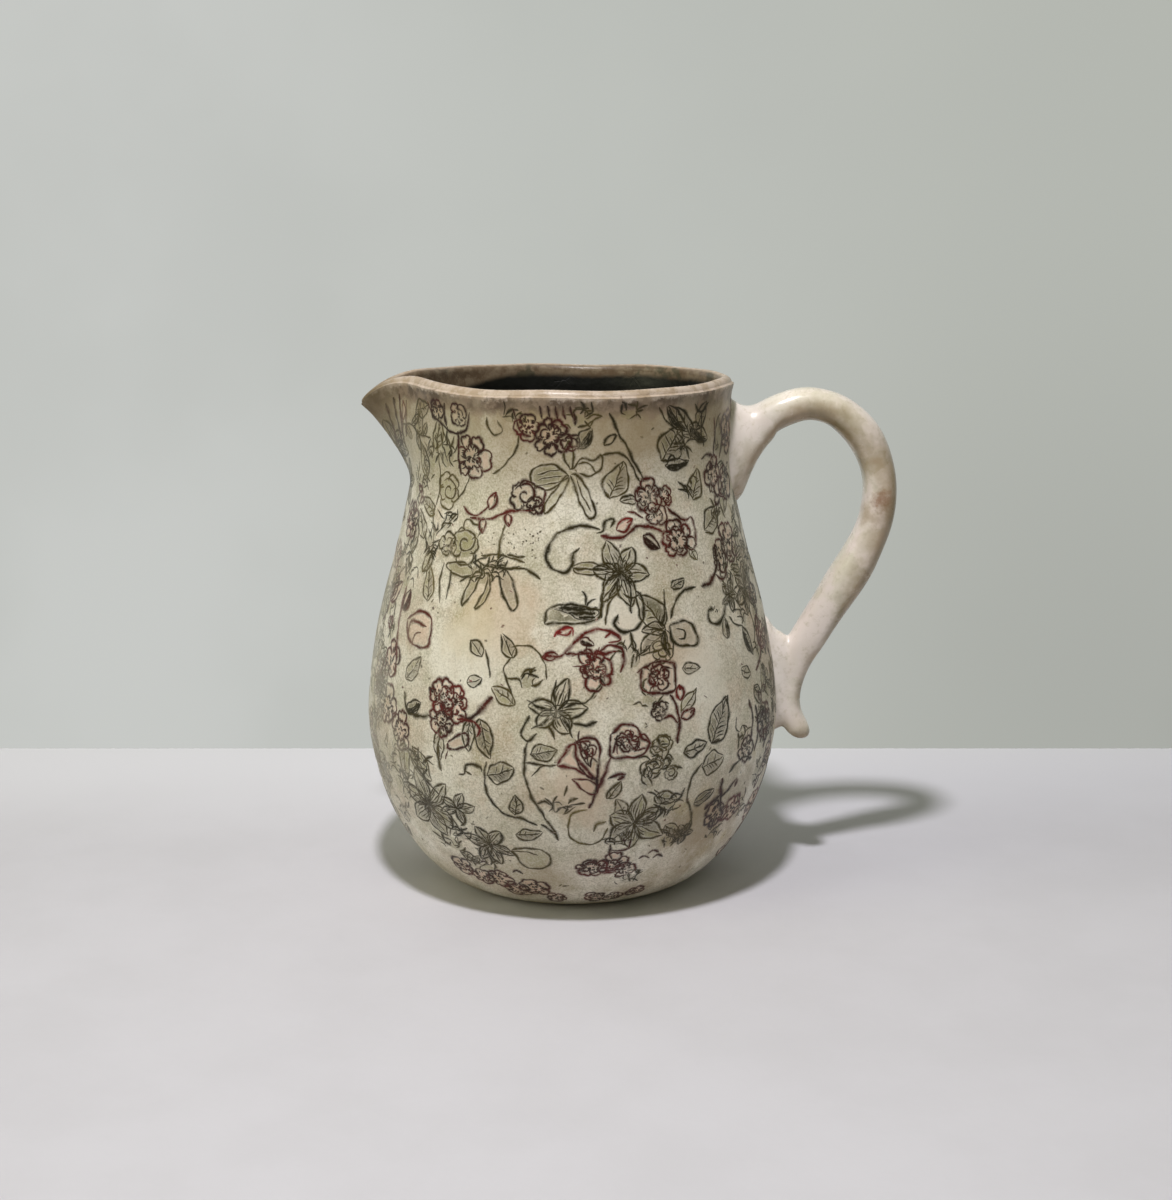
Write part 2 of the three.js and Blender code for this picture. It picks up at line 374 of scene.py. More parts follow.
def strap_loft():
    """The strap, from inside the upper root to its free tail."""
    share = PATH_LENGTH / PATH_LENGTH[-1]
    travel = np.gradient(PATH, PATH_LENGTH, axis=0)
    across = np.stack([travel[:, 1], -travel[:, 0]], 1)
    taper = smoothstep(0.55, 0.92, share)
    end = np.sqrt(1 - np.clip((share - 0.962) / 0.038, 0, 0.96) ** 2)
    uneven = 1 + waves(share, STRAP_WAVES)
    thick = np.interp(share, *zip(*STRAP_SWELL)) * end / 2 * uneven
    wide = (STRAP_WIDTH + (TAIL_WIDTH - STRAP_WIDTH) * taper) * end / 2 * uneven
    keep = PATH_LENGTH > STRAP_START
    return loft(PATH[keep], across[keep], thick[keep], wide[keep])


def root_loft(sections):
    sections = np.array(sections, float)
    fine = np.linspace(0, len(sections) - 1, 6 * len(sections))
    x, low, high, wide = (np.interp(fine, np.arange(len(sections)), column) for column in sections.T)
    across = np.tile([0.0, -1.0], (len(x), 1))
    return loft(np.stack([x, (low + high) / 2], 1), across, (high - low) / 2, wide)


def build_handle(material):
    """Strap and roots joined into one smooth skin."""
    points, faces = [], []
    for part_points, part_faces in (strap_loft(), root_loft(UPPER_ROOT), root_loft(LOWER_ROOT)):
        faces += [tuple(i + len(points) for i in face) for face in part_faces]
        points += part_points
    rough = new_mesh("handle_parts", points, faces)
    piece = link_object("jug_handle", rough)
    remesh = piece.modifiers.new("one_skin", "REMESH")
    remesh.mode = "VOXEL"
    remesh.voxel_size = SKIN_VOXEL * MM
    soften = piece.modifiers.new("soften", "SMOOTH")
    soften.factor = 0.5
    soften.iterations = SKIN_SMOOTHING
    skin = bpy.data.meshes.new_from_object(piece.evaluated_get(bpy.context.evaluated_depsgraph_get()))
    piece.modifiers.clear()
    piece.data = skin
    bpy.data.meshes.remove(rough)
    skin.name = "jug_handle"
    skin.shade_smooth()
    skin.materials.clear()
    skin.materials.append(material)
    return piece


# ---------------------------------------------------------------- material building blocks
def linear(red, green, blue):
    """Scene-linear colour of an sRGB colour given as 0 to 255."""
    def one(value):
        value /= 255
        return value / 12.92 if value <= 0.04045 else ((value + 0.055) / 1.055) ** 2.4
    return (one(red), one(green), one(blue), 1)


class Value:
    """An output inside a node tree. Arithmetic and the methods here add nodes to the tree."""

    def __init__(self, socket):
        self.socket = socket

    def node(self, kind, inputs, **settings):
        return add_node(self.socket.id_data, kind, inputs, **settings)

    def math(self, operation, other=0.0, clamp=False):
        return Value(self.node("Math", (self, other), operation=operation, use_clamp=clamp).outputs[0])

    def __add__(self, other):
        return self.math("ADD", other)

    def __sub__(self, other):
        return self.math("SUBTRACT", other)

    def __mul__(self, other):
        return self.math("MULTIPLY", other)

    def __truediv__(self, other):
        return self.math("DIVIDE", other)

    def axis(self, index):
        return Value(self.node("SeparateXYZ", (self,)).outputs[index])

    def moved(self, shift, scale=(1, 1, 1)):
        inputs = {"Vector": self, "Location": shift, "Scale": scale}
        return Value(self.node("Mapping", inputs).outputs[0])

    def distance(self, point):
        return Value(self.node("VectorMath", (self, point), operation="DISTANCE").outputs["Value"])

    def noise(self, size, detail=3.0, rough=0.55):
        """Noise whose features are about `size` millimetres across."""
        inputs = {"Vector": self, "Scale": 1 / (size * MM), "Detail": detail, "Roughness": rough}
        return Value(self.node("TexNoise", inputs).outputs["Fac"])

    def ramp(self, low, high, start=0.0, end=1.0):
        """Smooth change from start to end as this goes from low to high."""
        inputs = {"Value": self, "From Min": low, "From Max": high, "To Min": start, "To Max": end}
        return Value(self.node("MapRange", inputs, interpolation_type="SMOOTHSTEP").outputs[0])

    def mix(self, a, b):
        """Colour a where this is 0 and b where it is 1."""
        return Value(self.node("Mix", {0: self, 6: a, 7: b}, data_type="RGBA").outputs[2])

    def bump(self, strength, distance):
        inputs = {"Height": self, "Strength": strength, "Distance": distance * MM}
        return Value(self.node("Bump", inputs).outputs[0])


def add_node(tree, kind, inputs=(), **settings):
    """New shader node. inputs holds the linked or fixed inputs, in order or by index or name."""
    node = tree.nodes.new("ShaderNode" + kind)
    for key, value in settings.items():
        setattr(node, key, value)
    for key, value in inputs.items() if isinstance(inputs, dict) else enumerate(inputs):
        if isinstance(value, Value):
            tree.links.new(value.socket, node.inputs[key])
        else:
            node.inputs[key].default_value = value
    return node


def place_in(tree):
    """The place on the object, in metres."""
    return Value(add_node(tree, "TexCoord").outputs["Object"])


def attribute(tree, name):
    return Value(add_node(tree, "Attribute", attribute_name=name).outputs["Fac"])


def lay(color, *layers):
    """Colour under tints, each laid where its mask goes from low to high, up to a strength."""
    for mask, low, high, strength, tint in layers:
        color = mask.ramp(low, high, 0, strength).mix(color, tint)
    return color


def new_material(name):
    material = bpy.data.materials.new(name)
    material.use_nodes = True
    material.node_tree.nodes.clear()
    return material, material.node_tree, place_in(material.node_tree)


def finish_material(tree, color, roughness, normal, coat=0.0, coat_rough=0.1, specular=0.5):
    """Surface shader of a material. It is returned."""
    shader = add_node(tree, "BsdfPrincipled", {
        "Base Color": color, "Roughness": roughness, "Normal": normal, "Coat Weight": coat,
        "Coat Roughness": coat_rough, "Specular IOR Level": specular,
    })
    add_node(tree, "OutputMaterial", (Value(shader.outputs[0]),))
    return shader


# ---------------------------------------------------------------- the vessel's colours and surface
CREAM = linear(214, 205, 188)
CREAM_PALE = linear(232, 226, 212)
CREAM_TAN = linear(186, 169, 146)
CREAM_OLIVE = linear(176, 170, 143)
CREAM_BLUSH = linear(202, 178, 152)
GRAIN_DARK = linear(150, 142, 112)
GRAIN_PALE = linear(232, 227, 212)
WEAVE_DARK = linear(128, 118, 94)
WEAVE_PALE = linear(240, 236, 224)
CRACKLE = linear(122, 108, 78)
STAIN_TAN = linear(146, 127, 94)
STAIN_YELLOW = linear(188, 168, 116)
STAIN_SPOUT = linear(106, 89, 56)
TAUPE = linear(142, 122, 102)
TAUPE_DARK = linear(98, 80, 62)
WORN_PINK = linear(198, 181, 166)
WORN_TAN = linear(172, 152, 130)
INNER_TAN = linear(128, 112, 92)
INNER_DARK = linear(70, 66, 50)
LINING = linear(4, 4, 4)
BISCUIT = linear(178, 158, 132)
BISCUIT_BROWN = linear(158, 134, 106)
GRIT = linear(120, 98, 76)
HANDLE_CREAM = linear(226, 218, 200)
HANDLE_PINK = linear(240, 228, 220)
HANDLE_ROOT = linear(250, 241, 236)
HANDLE_OLIVE = linear(172, 160, 124)
HANDLE_TAN = linear(164, 138, 108)
HANDLE_PAINTED_SHADE = linear(132, 112, 74)
HANDLE_TAIL = linear(206, 190, 142)
RUST = linear(138, 84, 44)
# Inks and washes: dark, middle and light tone, and how well they cover.
INKS = {
    "red": ("red_brown_ink", linear(40, 18, 8), linear(84, 20, 14), linear(142, 24, 28), 1.0),
    "green": ("olive_ink", linear(34, 28, 8), linear(68, 57, 22), linear(116, 102, 54), 1.0),
}
WASHES = {
    "red": ("pink_wash", linear(170, 140, 116), linear(220, 188, 170), linear(214, 164, 150), 0.8),
    "green": ("olive_wash", linear(64, 58, 30), linear(138, 132, 86), linear(164, 160, 116), 0.85),
}
# Local stains, and painted highlights where the colour is CREAM_PALE: degrees from the front, height, radius,
# strength, colour.
LOCAL_STAINS_AND_HIGHLIGHTS = [
    (38, 30, 20, 0.75, STAIN_TAN), (52, 40, 14, 0.5, STAIN_TAN), (-20, 112, 20, 0.5, CREAM_BLUSH),
    (20, 173, 22, 0.6, STAIN_TAN), (2, 50, 18, 0.55, CREAM_BLUSH), (28, 98, 18, 0.5, CREAM_BLUSH),
    (-30, 106, 12, 0.32, STAIN_YELLOW), (-8, 18, 16, 0.5, STAIN_TAN), (-42, 168, 14, 0.45, CREAM_OLIVE),
    (12, 116, 26, 0.45, CREAM_PALE), (38, 82, 20, 0.5, CREAM_PALE), (-30, 94, 18, 0.4, CREAM_PALE),
]
# Two marked places, in metres.
SPOUT_TIP = (-0.078, 0.0, 0.176)
RUST_SPOT = (0.1135, -0.0058, 0.1415)
STAIN_RAGGEDNESS = 3.2
CRACKLE_SIZE = 4.6
CRACKLE_BEND = 0.0022
CREST = 1.3
BODY_RELIEF = 0.25
RIM_RELIEF = 0.7


def glaze_group():
    """Shared surface of the vessel: its colour, roughness and relief, from place and edge distance."""
    group = bpy.data.node_groups.new("vessel_glaze", "ShaderNodeTree")
    for name, kind in (("Color", "Color"), ("Roughness", "Float"), ("Height", "Float")):
        group.interface.new_socket(name, in_out="OUTPUT", socket_type="NodeSocket" + kind)
    where = place_in(group)
    edge = attribute(group, "edge")
    height = where.axis(2) / MM

    # Cream ground with pale, grey-tan and olive clouds, under a fine woven grain.
    clouds = where.noise(34, 4, 0.6)
    small_clouds = where.moved((0.3, 0.1, 0)).noise(9, 4, 0.65)
    tan_clouds = where.moved((0.9, 0.5, 0.3), (1, 1, 0.8)).noise(24, 5, 0.62)
    blush = where.moved((0.55, 0.35, 0.15)).noise(15, 4, 0.6)
    grain = where.noise(1.1, 3, 0.75)
    weave = where.noise(0.6, 2, 0.6)
    color = lay(
        clouds.ramp(0.42, 0.66).mix(CREAM, CREAM_PALE),
        (tan_clouds, 0.46, 0.68, 0.75, CREAM_TAN),
        (clouds, 0.50, 0.30, 0.5, CREAM_OLIVE),
        (small_clouds, 0.48, 0.68, 0.55, CREAM_OLIVE),
        (blush, 0.52, 0.70, 0.45, CREAM_BLUSH),
        (grain, 0.48, 0.68, 0.42, GRAIN_DARK),
        (grain, 0.46, 0.30, 0.40, GRAIN_PALE),
        (weave, 0.50, 0.66, 0.36, WEAVE_DARK),
        (weave, 0.50, 0.34, 0.36, WEAVE_PALE),
    )

    # Crackle: fine dark lines between irregular cells, missing in places.
    wander = where.node("TexNoise", {"Vector": where, "Scale": 1 / (6 * MM)})
    bend = {0: Value(wander.outputs["Color"]), "Scale": CRACKLE_BEND}
    bend = Value(where.node("VectorMath", bend, operation="SCALE").outputs[0])
    warped = Value(where.node("VectorMath", (where, bend), operation="ADD").outputs[0])
    cells = {"Vector": warped, "Scale": 1 / (CRACKLE_SIZE * MM)}
    cells = Value(where.node("TexVoronoi", cells, feature="DISTANCE_TO_EDGE").outputs["Distance"])
    cracks = cells.ramp(0.045, 0.0) * where.noise(16, 2).ramp(0.46, 0.62)
    color = (cracks * 0.30).mix(color, CRACKLE)

    # Stains under the rim, a ragged tan band that darkens towards the bottom, and local stains and painted
    # highlights on the belly.
    blot = where.moved((0, 0.2, 0), (1, 1, 0.6)).noise(21, 5, 0.62)
    under_rim = edge.ramp(42, 8) * blot.ramp(0.34, 0.56, 0.4, 1.0)
    color = (under_rim * 0.82).mix(color, STAIN_TAN)
    # A ragged tan band that darkens towards the bottom.
    low = height.ramp(30, 3) * blot.ramp(0.42, 0.66)
    color = (low * 0.7).mix(color, STAIN_TAN)
    spots = where.moved((0.7, 0.4, 0.2)).noise(26, 4, 0.6)
    color = lay(color, (spots, 0.60, 0.76, 0.55, STAIN_YELLOW))
    # Local stains, and painted highlights where the colour is CREAM_PALE.
    for front_angle, level, radius, strength, tint in LOCAL_STAINS_AND_HIGHLIGHTS:
        middle = on_wall(along_side(level), math.radians(front_angle + 90)) * MM
        reach = where.distance(middle) + (blot - 0.5) * (radius * STAIN_RAGGEDNESS * MM)
        color = lay(color, (reach, radius * MM, radius * 0.25 * MM, strength, tint))
    # Bare clay shows at the heel.
    heel = height + where.noise(7, 3) * 2.6
    color = heel.ramp(3.4, 1.9).mix(color, BISCUIT)

    # Rim: worn pale crest, a brown band below it that runs out, and a dark stain at the spout.
    ragged = where.noise(5, 4, 0.65)
    run = edge - (ragged - 0.5) * 11
    wash = run.ramp(11.5, 7.5) * where.noise(15, 3).ramp(0.33, 0.55, 0.55, 1.0)
    color = wash.mix(color, ragged.ramp(0.40, 0.62).mix(TAUPE_DARK, TAUPE))
    chipped = where.noise(3, 5, 0.7)
    crest = (edge - CREST).math("ABSOLUTE") + (chipped - 0.5) * 6.5
    worn = ragged.ramp(0.40, 0.60).mix(WORN_PINK, WORN_TAN)
    worn = lay(worn, (chipped, 0.54, 0.70, 0.7, TAUPE))
    tip = where.distance(SPOUT_TIP) + ragged * 0.016
    color = lay(color, (crest, 3.9, 2.3, 0.95, worn), (tip, 0.036, 0.012, 0.8, STAIN_SPOUT))

    # Inside: a thin tan edge, then dark brown, then near-black glaze.
    inside = edge + ragged * 2.4
    worn_inside = ragged.ramp(0.38, 0.62).mix(INNER_TAN, TAUPE_DARK)
    worn_inside = lay(worn_inside, (where.noise(12, 4, 0.6), 0.54, 0.62, 0.8, INNER_DARK))
    color = inside.ramp(0.6, -1.0).mix(color, worn_inside)
    deeper = (where.axis(0) / MM).ramp(-22, -60, 0, 8)
    color = (inside + deeper).ramp(-3.0, -5.6).mix(color, LINING)

    rough = small_clouds.ramp(0.3, 0.7, 0.34, 0.50)
    relief = where.noise(3.2, 4, 0.6) - cracks * 0.35
    out = group.nodes.new("NodeGroupOutput")
    for name, value in (("Color", color), ("Roughness", rough), ("Height", relief)):
        group.links.new(value.socket, out.inputs[name])
    return group


def use_glaze(tree, group):
    """The vessel's colour, roughness and relief."""
    node = tree.nodes.new("ShaderNodeGroup")
    node.node_tree = group
    return [Value(node.outputs[name]) for name in ("Color", "Roughness", "Height")]


def vessel_material(name, group, relief):
    material, tree, _ = new_material(name)
    color, rough, height = use_glaze(tree, group)
    finish_material(tree, color, rough, height.bump(0.3, relief), 0.12, 0.25, 0.4)
    return material


def lining_material(group):
    material, tree, _ = new_material("dark_lining_glaze")
    color, _, height = use_glaze(tree, group)
    finish_material(tree, color, 0.3, height.bump(0.2, 0.2), 0.1, 0.12, 0.3)
    return material


def base_material(group):
    """Glazed side that gives way to gritty bare clay on the underside."""
    material, tree, where = new_material("unglazed_foot")
    color, _, height = use_glaze(tree, group)
    under = (where.axis(2) / MM).ramp(0.9, 0.3)
    grit = where.noise(0.9, 4, 0.7)
    clay = where.noise(14, 4, 0.6).ramp(0.35, 0.65).mix(BISCUIT, BISCUIT_BROWN)
    color = under.mix(color, lay(clay, (grit, 0.55, 0.75, 0.5, GRIT)))
    relief = height + grit * 0.8
    finish_material(tree, color, under.ramp(0, 1, 0.5, 0.88), relief.bump(0.45, 0.3))
    return material


def handle_material():
    """Glossy off-white glaze, pinkish and paler at the roots, with tan, olive and rust stains, and painted
    shade on the sides that face down and outward.
    """
    material, tree, where = new_material("cream_handle_glaze")
    far = where.axis(0) / MM
    height = where.axis(2) / MM
    clouds = where.noise(16, 4, 0.6)
    color = clouds.ramp(0.40, 0.62).mix(HANDLE_CREAM, HANDLE_PINK)
    # Paler, pinker glaze towards the roots, strongest on the lower root: partly its own colour and partly
    # painted light that lifts the roots out of the body's shade.
    pale = far.ramp(88, 70) * height.ramp(134, 104, 0.45, 1.0)
    color = lay(pale.mix(color, HANDLE_ROOT), (where.noise(2.2, 4, 0.65), 0.50, 0.74, 0.35, HANDLE_OLIVE))
    stain = where.moved((0.15, 0.05, 0.4)).noise(13, 4, 0.6)
    brown = where.moved((0.4, 0.3, 0.1)).noise(11, 4, 0.6)
    outer = far.ramp(96, 112)
    mask = stain.ramp(0.46, 0.66) * outer.ramp(0, 1, 0.2, 0.8)
    color = (mask * 0.6).mix(color, HANDLE_OLIVE)
    mask = brown.ramp(0.54, 0.72) * outer.ramp(0, 1, 0.15, 0.8)
    color = (mask * 0.6).mix(color, HANDLE_TAN)
    # The rust mark near the outer bend, and a yellowish tail.
    spot = where.distance(RUST_SPOT) + where.noise(2.5, 5, 0.7) * 0.009
    color = lay(color, (spot, 0.0105, 0.0055, 0.8, RUST), (height, 62, 50, 0.4, HANDLE_TAIL))
    # Painted shade: darker colour on the sides that face down and outward, to the right, away from the light,
    # with less of it near the roots and high up.
    facing = Value(add_node(tree, "NewGeometry").outputs["Normal"])
    toward_light = facing.axis(2) * 0.8 - facing.axis(0) * 0.5 + (clouds - 0.5) * 1.2
    toward_light = toward_light + far.ramp(84, 64, 0, 0.45) + height.ramp(128, 96, 0, 0.34)
    shade = stain.ramp(0.35, 0.65).mix(HANDLE_PAINTED_SHADE, HANDLE_TAN)
    color = lay(color, (toward_light, 0.42, -0.36, 0.85, shade))
    relief = where.noise(5, 3, 0.5).bump(0.25, 0.35)
    finish_material(tree, color, clouds.ramp(0.3, 0.7, 0.20, 0.34), relief, 0.4, 0.10)
    return material


def print_material(group, name, dark, middle, light, density):
    """Ink or wash over the glaze, thinner in places and thinner towards the spout's side.

    Its colour follows the marks' tone, and how well it covers follows their fade.
    """
    material, tree, where = new_material(name)
    glaze, rough, height = use_glaze(tree, group)
    tone = attribute(tree, "tone") + where.noise(8, 3).ramp(0.3, 0.7, -0.14, 0.14)
    ink = tone.ramp(0.0, 0.5).mix(dark, middle)
    ink = tone.ramp(0.5, 1.0).mix(ink, light)
    grain = where.noise(0.9, 3, 0.7).ramp(0.30, 0.56, 0.66, 1.0)
    worn = where.noise(7, 3).ramp(0.30, 0.50, 0.72, 1.0)
    # The ink covers less towards the spout's side.
    far = where.axis(0) / MM + (where.noise(22, 4, 0.6) - 0.5) * 60
    thinner_to_spout = far.ramp(-80, -48, 0.5, 1.0)
    cover = (grain * worn * density).math("MULTIPLY", attribute(tree, "fade"), clamp=True) * thinner_to_spout
    finish_material(tree, cover.mix(glaze, ink), rough, height.bump(0.25, 0.25), 0.05, 0.25, 0.3)
    return material


# ---------------------------------------------------------------- the print: lines and tints
# Marks are kept as places on the wall: angle from the spout, and distance up the outline.
LINES = {"red": [], "green": []}
TINTS = {"red": [], "green": []}
PRINT_BOTTOM = 2.2
PRINT_TOP_GAP = 1.0


def spot(front_angle, height):
    """Place on the wall from degrees round from the front, and height."""
    return np.array([math.radians(front_angle + 90), along_side(height)])


def rotate(points, turn, shift=(0, 0)):
    cos, sin = math.cos(turn), math.sin(turn)
    return np.asarray(points, float) @ np.array([[cos, sin], [-sin, cos]]) + np.asarray(shift, float)


def ring_points(width, height, count, end=HAND_TURN):
    """Points of an oval that is drawn from the right, up and round."""
    turn = np.linspace(0, end, count)
    return np.stack([width / 2 * np.cos(turn), height / 2 * np.sin(turn)], 1)


class Motif:
    """A small flat drawing in millimetres, laid on the wall at a place and turn."""

    def __init__(self, front_angle, height, turn=0.0, flip=False, seed=None):
        self.middle = spot(front_angle, height)
        self.turn = math.radians(turn)
        self.flip = (-1, 1) if flip else (1, 1)
        self.part_turn = 0.0
        self.part_start = (0, 0)
        self.rng = random.Random(round(front_angle * 31 + height * 7) if seed is None else seed)

    def part(self, turn, start=(0, 0)):
        """The same drawing with its own axes moved and turned, to draw a leaf or petal along +x."""
        part = copy.copy(self)
        part.part_turn = turn
        part.part_start = start
        return part

    def lay(self, points):
        points = rotate(points, self.part_turn, self.part_start) * self.flip
        points = rotate(points, self.turn)
        u = np.clip(self.middle[1] + points[:, 1], along_side(PRINT_BOTTOM), TOP - PRINT_TOP_GAP)
        return np.stack([self.middle[0] + points[:, 0] / radius_at(u), u], 1)

    def line(self, points, width=0.8, ink="green", tone=0.5, fade=1.0):
        LINES[ink].append((self.lay(points), width, tone, fade, self.rng.random() * HAND_TURN))

    def tint(self, outline, ink="green", tone=0.5, strength=0.6, shade=False):
        TINTS[ink].append((self.lay(outline), tone, strength, shade))


def line(points, width=0.8, ink="green", tone=0.5, fade=1.0):
    """Line through places given as (degrees from the front, height)."""
    rng = random.Random(round(points[0][0] * 17 + points[0][1] * 5))
    LINES[ink].append((np.array([spot(*p) for p in points]), width, tone, fade, rng.random() * HAND_TURN))


def shape(points, width=0.8, ink="green", tone=0.5, strength=0.6, shade=False):
    """Closed smooth outline with a tint inside, through places given as (degrees, height)."""
    ring = np.array([spot(*p) for p in points + points[:1]])
    smooth = catmull(ring * [60, 1], 4, reach_out=False) / [60, 1]
    TINTS[ink].append((smooth[:-1], tone, strength, shade))
    line(points + points[:1], width, ink, tone)


# ---------------------------------------------------------------- the print: flowers and leaves
def blade(length, width, bend=0.0, blunt=0.8, points=11):
    """Two edges and the rib of a leaf or pointed petal that grows along +x."""
    t = np.linspace(0, 1, points)
    half = width / 2 * np.sin(math.pi * t ** blunt) ** 0.85
    rib = np.stack([length * t, bend * length * t ** 2], 1)
    side_way = np.stack([-2 * bend * t, np.ones_like(t)], 1)
    side_way /= np.linalg.norm(side_way, axis=1)[:, None]
    return rib + side_way * half[:, None], rib - side_way * half[:, None], rib


def closed(upper, lower):
    return np.vstack([upper, lower[-2:0:-1]])


def leaf(motif, length, width, hatch=5, tone=0.5, tint=0.6, pen=0.75, ink="green", bend=0.12, dark=False,
         start=(0, 0), turn=0.0):
    """Leaf with a shaded half, a rib and slanting hatch lines. A dark one has a row of strokes too."""
    rng = motif.rng
    part = motif.part(math.radians(turn), start)
    upper, lower, rib = blade(length, width, bend)
    part.tint(closed(upper, lower), ink, tone, tint)
    shaded = np.vstack([rib[1:-1:2], lower[-2:0:-2]])
    part.tint(shaded, ink, 0.0, min(1, tint * rng.uniform(0.5, 1.1)), True)
    for edge in (upper, lower):
        wavy = edge[::2] + np.array([[0, rng.uniform(-0.035, 0.035) * width] for _ in edge[::2]]) * 2
        part.line(wavy, pen * rng.uniform(0.8, 1.3), ink, tone * rng.uniform(0.7, 1.2))
    if length > 5:
        part.line(rib[:-1:3], pen * 0.8, ink, tone)
    for k in range(hatch):
        near = int((k + 0.8) / (hatch + 1.2) * 10)
        far = min(10, near + 2)
        for edge in (upper, lower):
            if edge is upper and rng.random() < 0.45:
                continue
            tip = rib[near] + (edge[far] - rib[near]) * rng.uniform(0.5, 0.98)
            middle = (rib[near] + tip) / 2 + (rib[far] - rib[near]) * 0.12
            part.line([rib[near], middle, tip], pen * 0.72, ink, tone, 0.95)
    if dark:
        for share in (0.2, 0.4, 0.6, 0.8):
            part.line((rib * (1 - share) + lower * share)[1:-1:2], pen * 1.25, ink, 0.05)


def petal_edge(rng, size, start, end, squash=1.0, depth=0.3, points=14):
    """Ruffled petal between two angles: up from the flower's middle, round, and back in."""
    far = size / 2 * rng.uniform(0.76, 1.14)
    t = np.linspace(0, 1, points)
    ruffle = np.abs(np.sin(math.pi * (t * rng.choice((2, 3)) + rng.uniform(-0.12, 0.12)))) ** 0.6
    round_out = far * (0.66 + 0.22 * np.sin(math.pi * t) ** 0.6 + rng.uniform(0.08, 0.16) * ruffle)
    turn = np.r_[start + rng.uniform(-0.1, 0.2), start + (end - start) * t, end - 0.05]
    far = np.r_[far * rng.uniform(depth, 0.6), round_out, far * rng.uniform(0.4, 0.62)]
    return np.stack([far * np.cos(turn), far * np.sin(turn) * squash], 1)


def blossom(motif, size, petals=5, ink="red", tone=0.4, pen=0.85, tint=0.75, squash=1.0):
    """Open flower: ruffled petals with curled folds and shading lines round a dark middle."""
    rng = motif.rng

    def ray(at, near, far, swing, width, shade):
        motif.line([(size * near * math.cos(at), size * near * math.sin(at) * squash),
                    (size * far * math.cos(at + swing), size * far * math.sin(at + swing) * squash)],
                   pen * width, ink, shade)

    first = rng.uniform(0, HAND_TURN)
    valleys = [first + (k + rng.uniform(-0.24, 0.24)) * FULL_TURN / petals for k in range(petals)]
    valleys.append(valleys[0] + FULL_TURN)
    ring = []
    for start, end in zip(valleys, valleys[1:]):
        edge = petal_edge(rng, size, start, end, squash)
        ring.extend(edge[1:-1:2])
        motif.line(edge, pen * rng.uniform(0.8, 1.3), ink, tone * rng.uniform(0.5, 1.3))
        if rng.random() < 0.6:
            fold = petal_edge(rng, size * 0.62, start + 0.1, end - rng.uniform(0.2, 0.6), squash, 0.5, 9)
            motif.line(fold[1:], pen * 0.85, ink, tone * rng.uniform(0.5, 1.2))
        ray(start, rng.uniform(0.18, 0.25), rng.uniform(0.32, 0.42), rng.uniform(-0.1, 0.2), 1.4, 0.05)
        for _ in range(rng.randint(2, 4)):
            at = start + (end - start) * rng.uniform(0.1, 0.9)
            near = rng.uniform(0.12, 0.24)
            far = near + rng.uniform(0.06, 0.18)
            ray(at, near, far, rng.uniform(-0.3, 0.3), 0.75, tone * rng.uniform(0.2, 1.1))
    if tint:
        motif.tint(ring, ink, tone, tint)
    for _ in range(6):
        at = rng.uniform(0, HAND_TURN)
        ray(at, rng.uniform(0.0, 0.06), rng.uniform(0.10, 0.17), 0.5, 1.15, tone * 0.25)


def peony(motif, size, ink="red", tone=0.6, pen=0.85, tint=0.75, squash=1.0):
    """Full flower: outer petals and a smaller ring of curled inner ones."""
    blossom(motif, size, 6, ink, tone, pen, tint, squash)
    rng = motif.rng
    first = rng.uniform(0, HAND_TURN)
    for k in range(4):
        start = first + k * HAND_TURN / 4
        edge = petal_edge(rng, size * 0.55, start, start + rng.uniform(1.3, 1.7), squash, 0.5, 6)
        motif.line(edge, pen * 0.95, ink, tone * 0.7)


def rose(motif, size, ink="green", tone=0.35, pen=0.8, tint=0.6):
    """Rose seen from the side: a curl inside overlapping rings."""
    rng = motif.rng
    motif.tint(ring_points(size * 0.92, size * 0.86, 14)[:-1], ink, tone, tint)
    turn = np.linspace(0, 8.6, 22)
    far = size * (0.05 + 0.036 * turn)
    motif.line(np.stack([far * np.cos(turn), far * np.sin(turn) * 0.9], 1), pen, ink, tone)
    for k in range(5):
        start = k * 1.26 + rng.uniform(0, 0.3)
        motif.line(petal_edge(rng, size, start, start + 1.5, 1.0, 0.6, 7)[1:], pen, ink, tone)


def scribble(motif, width, height, count, tone=0.45, wash=0.5, ink="green", pen=0.8):
    """Patch of short curved strokes over a wash, as half-worn leaves leave behind."""
    rng = motif.rng
    if wash:
        ring = ring_points(2, 2, 12)[:-1]
        rough = np.array([rng.uniform(0.38, 0.52) for _ in ring])
        motif.tint(ring * rough[:, None] * (width, height), ink, tone, wash)
    for _ in range(count):
        x, y = rng.uniform(-0.42, 0.42) * width, rng.uniform(-0.42, 0.42) * height
        turn = rng.choice((0.6, 1.2, 2.2)) + rng.uniform(-0.5, 0.5)
        reach = rng.uniform(2.4, 6.5)
        swing = rng.uniform(-0.9, 0.9)
        path = [(x, y), (x + reach * 0.5 * math.cos(turn), y + reach * 0.5 * math.sin(turn)),
                (x + reach * math.cos(turn + swing), y + reach * math.sin(turn + swing))]
        motif.line(path, pen * rng.uniform(0.7, 1.3), ink, tone * rng.uniform(0.4, 1.3))


